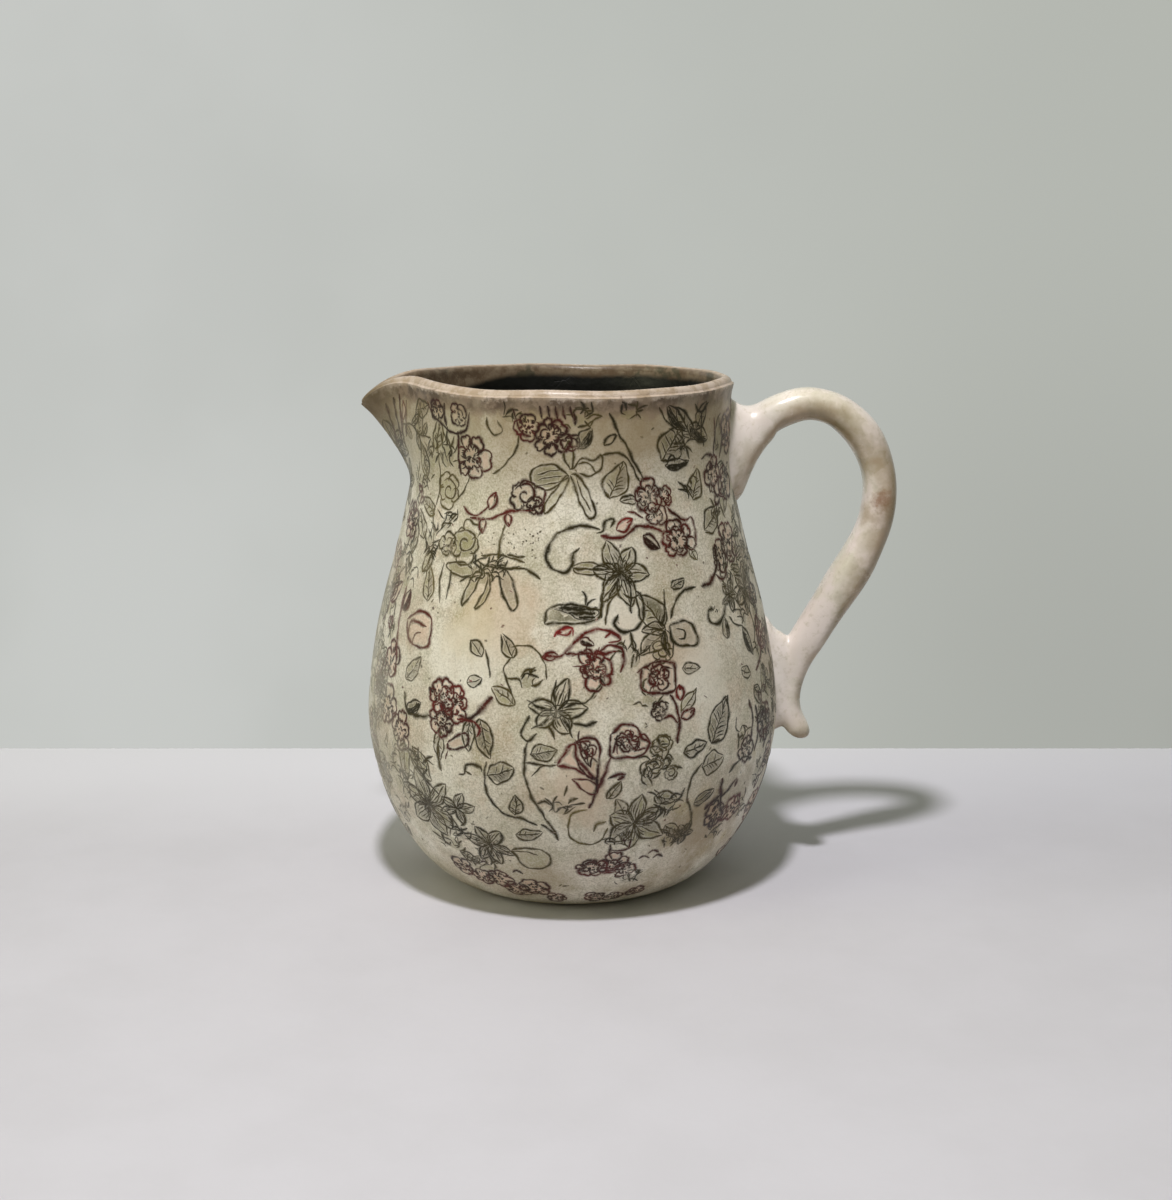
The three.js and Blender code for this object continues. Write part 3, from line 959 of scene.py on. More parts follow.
def lily(motif, size, petals=6, tone=0.45, pen=0.8, width=0.26, tint=0.65):
    """Flower of long pointed petals with ribs and fine veins."""
    rng = motif.rng
    first = rng.uniform(-0.2, 0.2)
    for k in range(petals):
        part = motif.part(first + (k + rng.uniform(-0.15, 0.15)) * FULL_TURN / petals)
        length = size / 2 * rng.uniform(0.82, 1.12)
        bend = rng.uniform(-0.22, 0.22)
        upper, lower, rib = blade(length, size * width * rng.uniform(0.75, 1.05), bend, 0.95)
        part.tint(closed(upper, lower), "green", tone * rng.uniform(0.7, 1.2), tint)
        darker = rng.choice((upper, lower))
        part.tint(np.vstack([rib[0:-2:2], darker[-3:0:-2]]), "green", 0.0, tint * rng.uniform(0.5, 1.0), True)
        part.line(upper[::2], pen, "green", tone)
        part.line(lower[::2], pen * rng.uniform(0.8, 1.4), "green", tone * 0.7)
        part.line(rib[1:-1:2], pen * 0.7, "green", tone)
        for edge, share in ((upper, 0.4), (upper, 0.72), (lower, 0.35), (lower, 0.68)):
            low = rng.randint(1, 3)
            part.line((rib + (edge - rib) * share)[low:low + 6:2], pen * 0.68, "green", tone, 0.9)
    for k in range(4):
        at = rng.uniform(0, HAND_TURN)
        far = size * rng.uniform(0.10, 0.17)
        motif.line([(0, 0), (far * math.cos(at), far * math.sin(at))], pen * 0.7, "green", 0.15)


def star_flower(motif, size, petals=5, tone=0.45, pen=0.8):
    """Small flower with narrow petals round a ringed eye."""
    lily(motif, size, petals, tone, pen, 0.30, 0.2)
    motif.line(ring_points(size * 0.2, size * 0.2, 10, 6.1), pen, "green", tone * 0.6)


def bud(motif, length, turn=0.0, tone=0.5, pen=0.8, start=(0, 0)):
    """Closed drop-shaped red bud with a dark tip."""
    part = motif.part(math.radians(turn), start)
    upper, lower, rib = blade(length, length * 0.52, 0.05, 0.75, 9)
    part.tint(closed(upper, lower), "red", tone, 0.8)
    part.line(upper[::2], pen, "red", tone)
    part.line(lower[::2], pen * 1.2, "red", tone * 0.8)
    part.line(rib[5:], pen * 1.5, "red", tone)


def tulip(motif, size, tone, pen=0.95):
    """Cup-shaped flower that opens along +y."""
    for turn, length, width in ((62, 1.0, 0.42), (118, 1.0, 0.42), (90, 0.9, 0.5)):
        part = motif.part(math.radians(turn))
        upper, lower, rib = blade(size * length, size * width, 0.08, 0.72)
        part.tint(closed(upper, lower), "red", tone, 0.75)
        part.line(upper[::2], pen, "red", tone)
        part.line(lower[::2], pen, "red", tone)
        part.line(rib[2:8:2], pen * 0.6, "red", tone)


def scroll(motif, size, tone, pen, turns=4.6, tail=0.9):
    """Spiral hook that thickens in the middle and runs out in a tail."""
    turn = np.linspace(0.4, turns, 14)
    far = size * (0.06 + 0.44 * (turn / turns) ** 1.1)
    path = np.stack([far * np.cos(turn), far * np.sin(turn)], 1)
    step = path[-1] - path[-2]
    end = path[-1] + step / np.linalg.norm(step) * size * tail
    motif.line(np.vstack([path, [end]]), pen, "green", tone)


def vine(motif, points, leaves, tone, pen, ink, leaf_size):
    """Stem with small leaves, or buds if it is red, to either side."""
    path = catmull(points, 6, reach_out=True)
    motif.line(path[::2], pen, ink, tone)
    rng = motif.rng
    for k in range(leaves):
        at = int((k + 0.7) / (leaves + 0.2) * (len(path) - 2))
        way = path[at + 1] - path[at]
        turn = math.degrees(math.atan2(way[1], way[0])) + (50 if k % 2 else -50) + rng.uniform(-12, 12)
        if ink == "red":
            bud(motif, leaf_size * rng.uniform(0.8, 1.1), turn, tone, pen, path[at])
        else:
            leaf(motif, leaf_size * rng.uniform(0.8, 1.3), leaf_size * 0.45, 2, tone, pen=pen * 0.8,
                 start=path[at], turn=turn)


def dots(motif, width, height, count, tone=0.4):
    """Patch of short specks."""
    rng = motif.rng
    for _ in range(count):
        x, y = rng.uniform(-0.5, 0.5) * width, rng.uniform(-0.5, 0.5) * height
        turn = rng.uniform(0, 3.14)
        reach = rng.uniform(0.3, 0.8)
        path = [(x, y), (x + reach * math.cos(turn), y + reach * math.sin(turn))]
        motif.line(path, rng.uniform(0.45, 0.75), "green", tone)


# ---------------------------------------------------------------- the print: meshes
# How far the marks stand off the wall. Overlapping tints differ a little, so that none flickers.
LINE_LIFT = {"green": 0.12, "red": 0.15}
TINT_LIFT = {"green": 0.02, "red": 0.03}
EDGE_LIFT = 0.035
SHADE_LIFT = 0.03
STACK_STEP = 0.002
STACK = 5
SUNK_EDGE = -0.04
SUNK_BACK = -0.12
# The pen: how much wider than its nominal width it prints, how well its core covers, its steps
# along a line, and how it sways and swells, as waves.
PEN_GROWTH = 1.72
CORE_COVER = 1.4
PEN_STEP = 0.85
PEN_SWAY = ((0.15, 1 / 1.5, 1), (0.10, 1 / 0.7, 2))
PEN_SWELL = ((0.22, 1 / 0.9, 3), (0.2, 1 / 2.3, 5))


def pen_waves(along, phase, terms):
    return waves(along, [(size, pace, phase * share) for size, pace, share in terms])


def ribbon(path, width, tone, fade, phase, lift):
    """Printed line as a very thin closed strip, as print_object takes it."""
    radius = float(radius_at(path[:, 1]).mean())
    flat = np.stack([path[:, 0] * radius, path[:, 1]], 1)
    smooth = catmull(flat, 6, reach_out=True) if len(flat) > 2 else flat
    along = lengths(smooth)
    total = along[-1]
    even = np.linspace(0, total, max(3, math.ceil(total / PEN_STEP) + 1))
    flat = np.stack([np.interp(even, along, smooth[:, i]) for i in (0, 1)], 1)
    way = np.gradient(flat, axis=0)
    way /= np.linalg.norm(way, axis=1)[:, None] + 1e-9
    across = np.stack([-way[:, 1], way[:, 0]], 1)
    flat = flat + across * (pen_waves(even, phase, PEN_SWAY) * min(1, total / 6))[:, None]
    taper = 0.3 + 0.7 * smoothstep(0, min(1.4, total * 0.45) + 1e-6, np.minimum(even, total - even))
    half = (width * PEN_GROWTH / 2 * taper * (1 + pen_waves(even, phase, PEN_SWELL)))[:, None]
    places = np.stack([flat + across * half, flat, flat - across * half], 1).reshape(-1, 2)
    places[:, 0] /= radius
    rows = len(flat)
    last = 3 * (rows - 1)
    faces = [(low + i, low + 3 + i, low + 3 + j, low + j)
             for low in range(0, last, 3) for i, j in ((0, 1), (1, 2), (2, 0))]
    faces += [(0, 1, 2), (last + 2, last + 1, last)]
    return places, [EDGE_LIFT, lift, EDGE_LIFT] * rows, [0, fade * CORE_COVER, 0] * rows, tone, faces


def patch(outline, tone, strength, lift):
    """Printed tint as a flat closed lens whose rim fades into the wall, as print_object takes it."""
    middle = outline.mean(0)
    count = len(outline)
    places = np.vstack([middle + (outline - middle) * share for share in (1.0, 0.8, 0.45)] + [middle, middle])
    lifts = [SUNK_EDGE] * count + [lift] * (2 * count + 1) + [SUNK_BACK]
    fades = [0] * count + [0.8 * strength] * count + [strength] * (count + 2)
    x, y = (outline - middle).T
    clockwise = np.sum(x * np.roll(y, -1) - y * np.roll(x, -1)) < 0
    top = 3 * count
    faces = []
    for i in range(count):
        j = (i + 1) % count
        if clockwise:
            i, j = j, i
        faces += [(low + i, low + j, low + count + j, low + count + i) for low in (0, count)]
        faces += [(2 * count + i, 2 * count + j, top), (j, i, top + 1)]
    return places, lifts, fades, tone, faces


def print_object(name, marks, material):
    """One piece from marks, each given as its places, lifts, fades, tone and faces."""
    places, lifts, fades, tones, faces = [], [], [], [], []
    for spots, heights, covers, tone, sides in marks:
        faces += [tuple(len(lifts) + i for i in face) for face in sides]
        places.append(spots)
        lifts += heights
        fades += covers
        tones += [tone] * len(heights)
    places = np.vstack(places)
    points = on_wall(places[:, 1], places[:, 0], np.array(lifts, float))
    edge = LIP_ARC + TOP - places[:, 1]
    return make_object(name, points, faces, material, {"edge": edge, "fade": fades, "tone": tones})


# ---------------------------------------------------------------- the print: what is drawn where
# Places were read off: degrees round from the front, and millimetres of height.
def draw_neck_left():
    for shift, low, high, width in ((0, 158, 179, 1.1), (3, 161, 180, 0.9), (6.4, 165, 178, 0.9),
                                    (-3.5, 163, 178, 1.0)):
        line([(-80.5 + shift, high), (-81 + shift, (low + high) / 2 + 1), (-83 + shift, low)], width, "red",
             0.12)
    for shift, low in ((1.2, 166), (3.6, 170)):
        shape([(-81 + shift, low), (-80 + shift, low + 4), (-79.5 + shift, low + 8),
               (-78.6 + shift, low + 4)],
              0.5, "red", 0.4, 0.8)
    line([(-59, 179), (-55, 175), (-49, 172), (-43, 170), (-38, 172), (-36, 178)], 1.1, "red", 0.1)
    line([(-48, 180), (-48.5, 176), (-47.5, 172)], 1.2, "red", 0.1)
    blossom(Motif(-53, 177), 9, 4, "red", 0.1, 0.9, 0.5)
    blossom(Motif(-41.5, 176.5), 9, 4, "red", 0.15, 0.9, 0.5)
    peony(Motif(-35.5, 162.5, 15), 15, "red", 0.18, 1.0, 0.8, 1.12)
    line([(-41.5, 171), (-41.5, 163), (-40.5, 156)], 1.2, "red", 0.12)
    line([(-47, 172), (-47.5, 165)], 1.3, "green", 0.1)
    line([(-36, 157), (-38, 152), (-42, 147)], 0.6, "green", 0.4)
    line([(-29, 177), (-28.5, 173), (-26, 170.8), (-23.4, 172.5), (-25, 176)], 0.75, "green", 0.35)
    line([(-17, 171), (-19, 165), (-23.5, 160), (-27, 157.5)], 0.75, "green", 0.3)
    leaf(Motif(-54, 163, 70), 12, 6, tone=0.6, tint=0.5)
    leaf(Motif(-60, 152, 100), 13, 6, tone=0.65, tint=0.5)
    leaf(Motif(-66, 166, 80), 12, 6, tone=0.6, tint=0.5)
    leaf(Motif(-52, 141, 150), 11, 5, tone=0.6, tint=0.5)
    line([(-54, 168), (-52, 160), (-51, 150), (-53, 141), (-50, 132), (-51, 122)], 0.7, "green", 0.5)
    rose(Motif(-46, 150), 13, "green", 0.6, 0.75, 0.6)
    bud(Motif(-28, 145.6), 6.5, turn=62, tone=0.45, pen=1.0)
    line([(-28, 146.5), (-31, 143.6), (-35, 143.2), (-38.5, 145.5)], 1.0, "red", 0.4)
    line([(-35, 142.3), (-30, 141.8), (-25, 143.2), (-19, 145.6), (-12, 145.6)], 1.2, "red", 0.4)
    bud(Motif(-29.5, 142.5), 5.5, turn=-96, tone=0.3, pen=1.0)
    bud(Motif(-21, 144.5), 4.5, turn=-80, tone=0.4, pen=1.0)
    rose(Motif(-15, 151, 20), 12.5, "red", 0.1, 1.05, 0.45)
    blossom(Motif(-11.5, 147.5), 7, 4, "red", 0.1, 1.0, 0.5)


def draw_neck_middle():
    peony(Motif(-6.5, 171, 40), 14, "red", 0.16, 1.0, 0.7, 0.95)
    blossom(Motif(-14.5, 174), 9, 4, "red", 0.18, 0.95, 0.6)
    line([(-19.5, 180), (-18, 176), (-16, 171.5), (-13, 170.5)], 1.0, "red", 0.12)
    for at in (-10, -7.5, -5, -2.5, 0):
        line([(at, 181), (at + 0.8, 176.5)], 0.9, "red", 0.05)
    line([(1.3, 179), (1.5, 174.6)], 1.3, "red", 0.05)
    rose(Motif(0.5, 168.6), 6.5, "red", 0.1, 0.85, 0.4)
    leaf(Motif(2.5, 167, 50), 8, 5, tone=0.25, tint=0.8, dark=True)
    # The large lily.
    shape([(0.2, 158), (2, 152), (5.6, 143.6), (8, 145.6), (6, 152), (2.4, 158)], 0.95, "green", 0.3, 0.35)
    line([(1.8, 157), (4, 151), (6.6, 145.6)], 0.6, "green", 0.45)
    shape([(-0.4, 157), (-3, 151), (-8, 145), (-8.6, 147.5), (-5, 153), (-1.6, 157.4)], 0.85, "green", 0.35,
          0.5)
    shape([(-0.6, 158), (-6, 161.4), (-12, 160), (-13, 155), (-7, 153), (-1.6, 156.6)], 0.85, "green", 0.35,
          0.9)
    for low in (154.6, 156.6, 158.6):
        line([(-2.4, low + 1.2), (-6, low + 0.6), (-11, low - 0.6)], 0.55, "green", 0.4)
    shape([(-0.4, 160), (-2.2, 165), (-0.4, 169.6), (1, 165), (0.8, 160.6)], 0.8, "green", 0.3, 0.5)
    line([(0.6, 160), (4, 163.6), (7, 162.8), (10.2, 164.6), (10, 160), (6.4, 157.6), (3, 158.8)], 0.85,
         "green", 0.3)
    line([(2.4, 161.6), (5.8, 162), (8.6, 158.8)], 0.6, "green", 0.45)
    line([(10, 164.4), (14, 165.2), (17.5, 164.8), (21, 160), (23.4, 155)], 0.85, "green", 0.25)
    line([(13, 179), (15.4, 173), (18.4, 168), (21.4, 162), (25.2, 155)], 1.0, "green", 0.2)
    line([(11, 168), (12.4, 170.8), (15.4, 171.4), (13.6, 168.8), (11, 168)], 0.85, "green", 0.25)
    leaf(Motif(12.6, 150, 62), 13.5, 8.2, hatch=7, tone=0.4, tint=0.55, bend=0.1)
    leaf(Motif(22.5, 149, 172), 6.5, 2.8, hatch=1, tone=0.15, tint=0.9)
    # The scroll hook left of the star flower.
    line([(9.4, 140), (4, 141), (-1.4, 140), (-5.6, 136.6), (-7.4, 131.4), (-5.6, 127), (-1.6, 126),
          (0.6, 128.6),
          (1, 132), (2.8, 134)], 1.3, "green", 0.15)
    shape([(0.6, 128), (5, 129.4), (9.6, 127.6), (14, 126.6), (8, 125), (1.4, 126)], 0.6, "green", 0.25, 1.0)
    line([(1, 127.4), (6, 126.8), (12, 127)], 1.2, "green", 0.2)
    line([(8.2, 138.4), (10.4, 139.4), (11, 142.6), (14, 142.8), (12.6, 140.4)], 1.0, "green", 0.2)


def draw_neck_right():
    # Two blossoms on a red stem.
    blossom(Motif(26, 150.2, 10), 12, 5, "red", 0.22, 1.1, 0.85)
    blossom(Motif(32, 149.4, 60), 9, 4, "red", 0.26, 1.0, 0.85)
    blossom(Motif(28.4, 143.4), 8.5, 3, "red", 0.3, 0.95, 0.85)
    line([(33, 146), (36.6, 142.6), (40, 140.6), (43, 141.4), (44, 135.4), (43, 132)], 1.2, "red", 0.25)
    peony(Motif(36, 134.8, -10), 15.5, "red", 0.28, 1.1, 0.9, 0.95)
    line([(9.4, 137.8), (13, 136.8), (17.6, 137.4), (22, 140.4), (27, 139.4), (31, 137.4)], 1.4, "red", 0.3)
    line([(24, 142.8), (20.6, 144.8), (18.6, 145.6)], 0.9, "red", 0.3)
    bud(Motif(14.6, 139.4), 7, turn=28, tone=0.6, pen=1.1)
    leaf(Motif(23.4, 137.4, -48), 8, 3.8, hatch=0, ink="red", tone=0.1, tint=1.0, pen=1.0, dark=True)
    leaf(Motif(40.6, 131.6, -70), 5.6, 3, hatch=1, tone=0.5)
    # Leaves under the rim.
    leaf(Motif(31.6, 161.6, 48), 14, 10.5, hatch=7, tone=0.25, tint=0.9, pen=0.95)
    leaf(Motif(33, 160, -4), 11, 3.6, hatch=2, tone=0.2, tint=0.9, dark=True)
    leaf(Motif(34, 180, -52), 13, 5, hatch=3, tone=0.12, tint=1.0, dark=True)
    leaf(Motif(45, 168, 118), 13.5, 6, hatch=4, tone=0.2, tint=1.0, pen=0.9)
    leaf(Motif(44, 173, -38), 12, 5.4, hatch=4, tone=0.2, tint=1.0, dark=True)
    leaf(Motif(47, 171, 50), 11, 5, hatch=3, tone=0.15, tint=0.9)
    line([(30.4, 180), (34, 174.6), (38, 172)], 0.8, "green", 0.2)
    line([(46.4, 180), (50, 176.6), (54.4, 179.8)], 1.1, "green", 0.1)
    line([(50.2, 176.6), (50.4, 170), (52, 164.6)], 0.9, "green", 0.12)
    line([(37.6, 171), (41, 168), (44, 161)], 1.1, "green", 0.15)
    # Brown-red blossom near the handle.
    peony(Motif(58, 154, 25), 13.5, "red", 0.24, 1.0, 0.85, 1.1)
    line([(59, 174), (59.4, 167), (58, 160)], 1.2, "red", 0.12)
    line([(65.4, 171), (65.6, 165), (63.6, 159)], 1.4, "red", 0.12)
    line([(50.4, 160.6), (53.6, 161.6), (58, 160.8)], 1.1, "red", 0.15)
    leaf(Motif(45, 147, 66), 11, 7, hatch=6, tone=0.45, tint=0.8)
    leaf(Motif(48.6, 136, 30), 12.5, 7.5, hatch=7, tone=0.35, tint=0.7)
    leaf(Motif(63, 140, 80), 12, 6, hatch=4, tone=0.5, tint=0.7)
    line([(56, 137.4), (58, 130), (57, 124)], 1.1, "red", 0.2)
    blossom(Motif(61.5, 130), 13, 5, "red", 0.24, 1.05, 0.8, 1.2)
    blossom(Motif(54, 126.6), 9, 4, "red", 0.2, 1.0, 0.8, 1.3)
    line([(42.6, 118), (46.4, 118.6), (49.6, 121), (51.8, 124.6), (52.6, 131)], 1.7, "red", 0.1)
    line([(50, 121), (53.4, 118.6), (56.6, 120.6)], 1.3, "red", 0.1)


def draw_shoulder_left():
    rose(Motif(-35.5, 133.6, 10), 14.5, "green", 0.45, 0.85, 0.9)
    blossom(Motif(-43, 132), 10, 4, "green", 0.55, 0.75, 0.6)
    dots(Motif(-16, 134), 15, 12, 34, 0.3)
    dots(Motif(-24, 134), 9, 9, 12, 0.4)
    line([(-21.6, 141), (-22.6, 135), (-23, 129)], 1.1, "green", 0.6)
    # The lily that hangs on the left.
    shape([(-22.4, 125), (-20.6, 119), (-17, 112.8), (-15.6, 116), (-17.4, 122), (-20, 126)], 1.0, "green",
          0.2, 0.5)
    shape([(-28, 124), (-29.6, 119), (-33.4, 112.6), (-32.8, 118.6), (-30.4, 124)], 0.85, "green", 0.35, 0.7)
    shape([(-25.6, 124), (-26.4, 118), (-29, 112.6), (-27, 113.6), (-24.4, 119)], 0.8, "green", 0.35, 0.9)
    shape([(-31, 125), (-36, 127), (-42, 125.4), (-38, 122.6), (-32, 122.8)], 0.75, "green", 0.4, 0.8)
    line([(-30, 128), (-25, 126.4), (-19, 126.6), (-13, 126.4), (-9, 123.4)], 1.1, "green", 0.2)
    scribble(Motif(-28, 124), 13, 9, 16, 0.2, wash=0.8)
    line([(-29, 130), (-21, 130.6), (-14, 128.6)], 0.8, "green", 0.35)
    line([(-20, 131), (-14, 130.4)], 0.9, "green", 0.25)
    line([(-43.4, 126), (-43.6, 119), (-42, 112.4)], 0.95, "green", 0.35)
    line([(-39.8, 124), (-39.4, 118), (-40, 114)], 1.0, "green", 0.3)
    leaf(Motif(-47.6, 112, 96), 13, 5.4, hatch=4, tone=0.55, tint=0.6)
    leaf(Motif(-53, 121, 60), 9, 4.6, hatch=3, tone=0.6, tint=0.6)
    leaf(Motif(-62, 126, 95), 13, 6, hatch=4, tone=0.6, tint=0.6)
    leaf(Motif(-56, 132, 120), 12, 5, hatch=4, tone=0.55, tint=0.6)
    # Red flower beside its upright stem.
    line([(-60.4, 115), (-60.6, 107), (-59.6, 99), (-58, 91), (-57.4, 84)], 1.5, "red", 0.45)
    leaf(Motif(-59.4, 106.6, 66), 8.5, 4.6, hatch=0, ink="red", tone=0.2, tint=0.8, pen=1.0, dark=True)
    shape([(-55.6, 104.4), (-50.6, 108), (-44.8, 107.4), (-43.4, 102), (-44, 97.4), (-50, 96.6), (-54, 100)],
          1.15, "red", 0.4, 0.6)
    line([(-53.4, 98), (-53.6, 103.6), (-49, 104.4), (-45.6, 103.6)], 1.1, "red", 0.35)
    line([(-50.8, 96.8), (-50, 100.4), (-47.6, 101.4)], 0.8, "red", 0.35)
    blossom(Motif(-66, 101), 5, 3, "red", 0.55, 1.0, 0.8)
    blossom(Motif(-60.6, 88.6), 13, 5, "red", 0.35, 1.05, 0.8, 1.2)
    leaf(Motif(-51.4, 84.4, 46), 11.5, 6, hatch=3, tone=0.4, tint=0.8)
    # Small leaves that climb in the gap.
    leaf(Motif(-24.6, 97, 128), 7.5, 4.4, hatch=1, tone=0.2, tint=0.7)
    line([(-24, 99.6), (-22.4, 94.6), (-22, 90.4)], 0.75, "green", 0.25)
    leaf(Motif(-28.6, 88, 12), 6, 4.2, hatch=0, tone=0.25, tint=0.6)
    leaf(Motif(-15.8, 97.4, 112), 9, 4.6, hatch=3, tone=0.2, tint=0.85)
    line([(-16, 98), (-18, 94), (-17, 89.6), (-15.4, 86)], 0.75, "green", 0.25)
    line([(-16.6, 101), (-13, 102), (-10, 101), (-7, 97), (-6.4, 91)], 0.6, "green", 0.4)


def draw_belly_middle():
    # Star flower on the shoulder, with its dark leaf and scroll.
    lily(Motif(15.2, 125.4, 8), 22.5, 6, 0.3, 0.9, 0.27, 0.85)
    star_flower(Motif(15.4, 125.8), 8, 5, 0.2, 0.8)
    line([(10.6, 125), (9.4, 119), (9, 114.6), (8.6, 111)], 1.2, "green", 0.15)
    line([(15, 125), (12.6, 120), (10.4, 116)], 1.0, "green", 0.15)
    line([(17.6, 124), (17.8, 118), (17.4, 112)], 1.0, "green", 0.12)
    shape([(-7.4, 109.4), (-6.4, 113.6), (-2, 115.6), (3.4, 114.8), (8.6, 113.4), (6.4, 110), (0, 109.4)],
          1.1, "green", 0.15, 0.9)
    shape([(-4.6, 114.2), (2, 114.8), (8, 113.2), (6.2, 110.8), (2, 111), (-0.6, 112.6)], 0.5, "green", 0.0,
          1.0, shade=True)
    for height, start in ((114.2, -3.4), (112.9, -0.6), (111.6, 2.4)):
        line([(start, height), (3, height - 0.2), (7, height - 0.5)], 2.1, "green", 0.0)
    line([(19.6, 119.4), (21.4, 115.6), (21, 110.4), (18, 106.6), (14.6, 106.2), (12.4, 109), (13.6, 112)],
         1.3, "green", 0.1)
    line([(15.4, 118.6), (18, 117), (21, 118.6)], 0.9, "green", 0.2)
    line([(9.8, 108.6), (10.2, 112.6), (11.8, 116.6), (14, 118.8)], 0.8, "green", 0.3)
    # The central red sprig and peony.
    line([(-7, 99.2), (-3.4, 98.6), (-0.4, 101), (2, 104.4), (5, 106.6), (9, 107.4), (12, 105.8),
          (13.8, 103.6)],
         1.45, "red", 0.5)
    bud(Motif(-3.4, 99), 5.4, turn=184, tone=0.45, pen=1.15)
    bud(Motif(0.4, 107.6), 5.4, turn=196, tone=0.6, pen=1.0)
    line([(-4.6, 105), (-3, 107.4), (0.4, 107.8), (0.6, 105.4)], 1.0, "red", 0.7)
    line([(9.4, 104.6), (12, 106.4), (13.6, 103.6), (10.4, 103)], 1.0, "red", 0.6)
    leaf(Motif(2.8, 104.4, -34), 5, 2.6, hatch=0, ink="red", tone=0.3, tint=1.0, dark=True)
    line([(-2, 99.6), (3, 99.6), (8, 99.4), (13, 100)], 1.3, "red", 0.35)
    peony(Motif(6.8, 94.2, 12), 13.4, "red", 0.42, 1.0, 1.0, 1.05)
    scribble(Motif(6.8, 94), 11, 11, 12, 0.6, 0, "red", 0.7)
    line([(8, 100.6), (10.6, 102), (14.2, 100.6), (14.4, 96.6), (13.2, 93)], 1.4, "red", 0.3)
    # Dark butterfly flower to the right, with a leaf fan.
    leaf(Motif(27, 106, 118), 15, 9, hatch=6, tone=0.25, tint=0.85, pen=0.9)
    leaf(Motif(27.6, 105, -152), 12.5, 7, hatch=5, tone=0.3, tint=0.9)
    leaf(Motif(27.6, 105.4, -92), 9.5, 5, hatch=3, tone=0.12, tint=1.0, dark=True)
    leaf(Motif(27.6, 106, 172), 9, 4.4, hatch=2, tone=0.15, tint=0.9)
    shape([(29, 107), (33.4, 107.8), (37, 105.4), (37.4, 99.6), (31.4, 100), (29, 103)], 1.3, "green", 0.15,
          0.4)
    line([(31, 105.4), (33.6, 104.6), (33.4, 101.8), (31.4, 102.4)], 0.9, "green", 0.15)
    line([(29.6, 109), (31.6, 114), (36, 117.8), (40.4, 118)], 1.1, "green", 0.15)
    line([(28.4, 119), (28, 112), (26.4, 107)], 0.9, "green", 0.2)
    rose(Motif(25.6, 98.6), 8, "green", 0.4, 0.75, 0.85)
    leaf(Motif(31, 119.4, 10), 6.4, 3.4, hatch=2, tone=0.15, tint=0.9)
    scroll(Motif(45.6, 108.6, 30), 10.5, 0.15, 1.4, 5.4, 0.5)
    dots(Motif(46, 109.6), 4, 3, 9, 0.1)
    leaf(Motif(49.4, 99, 76), 7.5, 3.4, hatch=1, tone=0.12, tint=0.9, dark=True)
    line([(52.4, 106), (54.4, 103), (58, 101.6), (60.4, 98.6)], 0.8, "green", 0.2)
    leaf(Motif(58.4, 101, -74), 12, 4, hatch=2, tone=0.12, tint=0.9, dark=True)
    leaf(Motif(54, 87, -28), 7, 4.4, hatch=1, tone=0.2, tint=0.5)
    leaf(Motif(31.4, 92.4, -12), 8, 3.4, hatch=3, tone=0.35, tint=0.7)
    line([(62.6, 112), (65, 106), (66.6, 99), (68, 92)], 1.0, "green", 0.2)
    lily(Motif(66, 113, 20), 20, 6, 0.3, 0.95, 0.26, 0.7)
    lily(Motif(55, 113, 50), 12, 5, 0.2, 0.9, 0.26, 0.7)
    # Square red flower and its stem with a ring and buds.
    shape([(19.4, 94), (24, 95.4), (28.6, 94.6), (29, 90), (28.6, 85.4), (23.4, 85), (19.6, 86.4),
           (18.8, 90)],
          1.25, "red", 0.25, 0.8)
    scribble(Motif(24, 90), 8, 8, 9, 0.3, 0, "red", 0.8)
    blossom(Motif(24, 90.4, 20), 9, 4, "red", 0.25, 0.9, 0)
    line([(21, 92), (23, 88.6), (21.4, 86.4)], 0.9, "red", 0.3)
    line([(26.4, 93.8), (25.4, 90), (27.6, 87.6)], 0.9, "red", 0.3)
    bud(Motif(30, 81.6), 5.6, turn=84, tone=0.7, pen=1.1)
    blossom(Motif(23.6, 79), 7, 5, "red", 0.15, 1.0, 0.7)
    line([(27, 84), (28.8, 80), (29.4, 74), (28.6, 67)], 1.4, "red", 0.2)
    bud(Motif(30, 75.6), 6.4, turn=18, tone=0.3, pen=1.1)
    line([(24, 76), (26.6, 77), (29, 74)], 1.0, "red", 0.3)
    leaf(Motif(30, 77.4, 40), 10.5, 4.4, hatch=4, tone=0.55, tint=0.7)


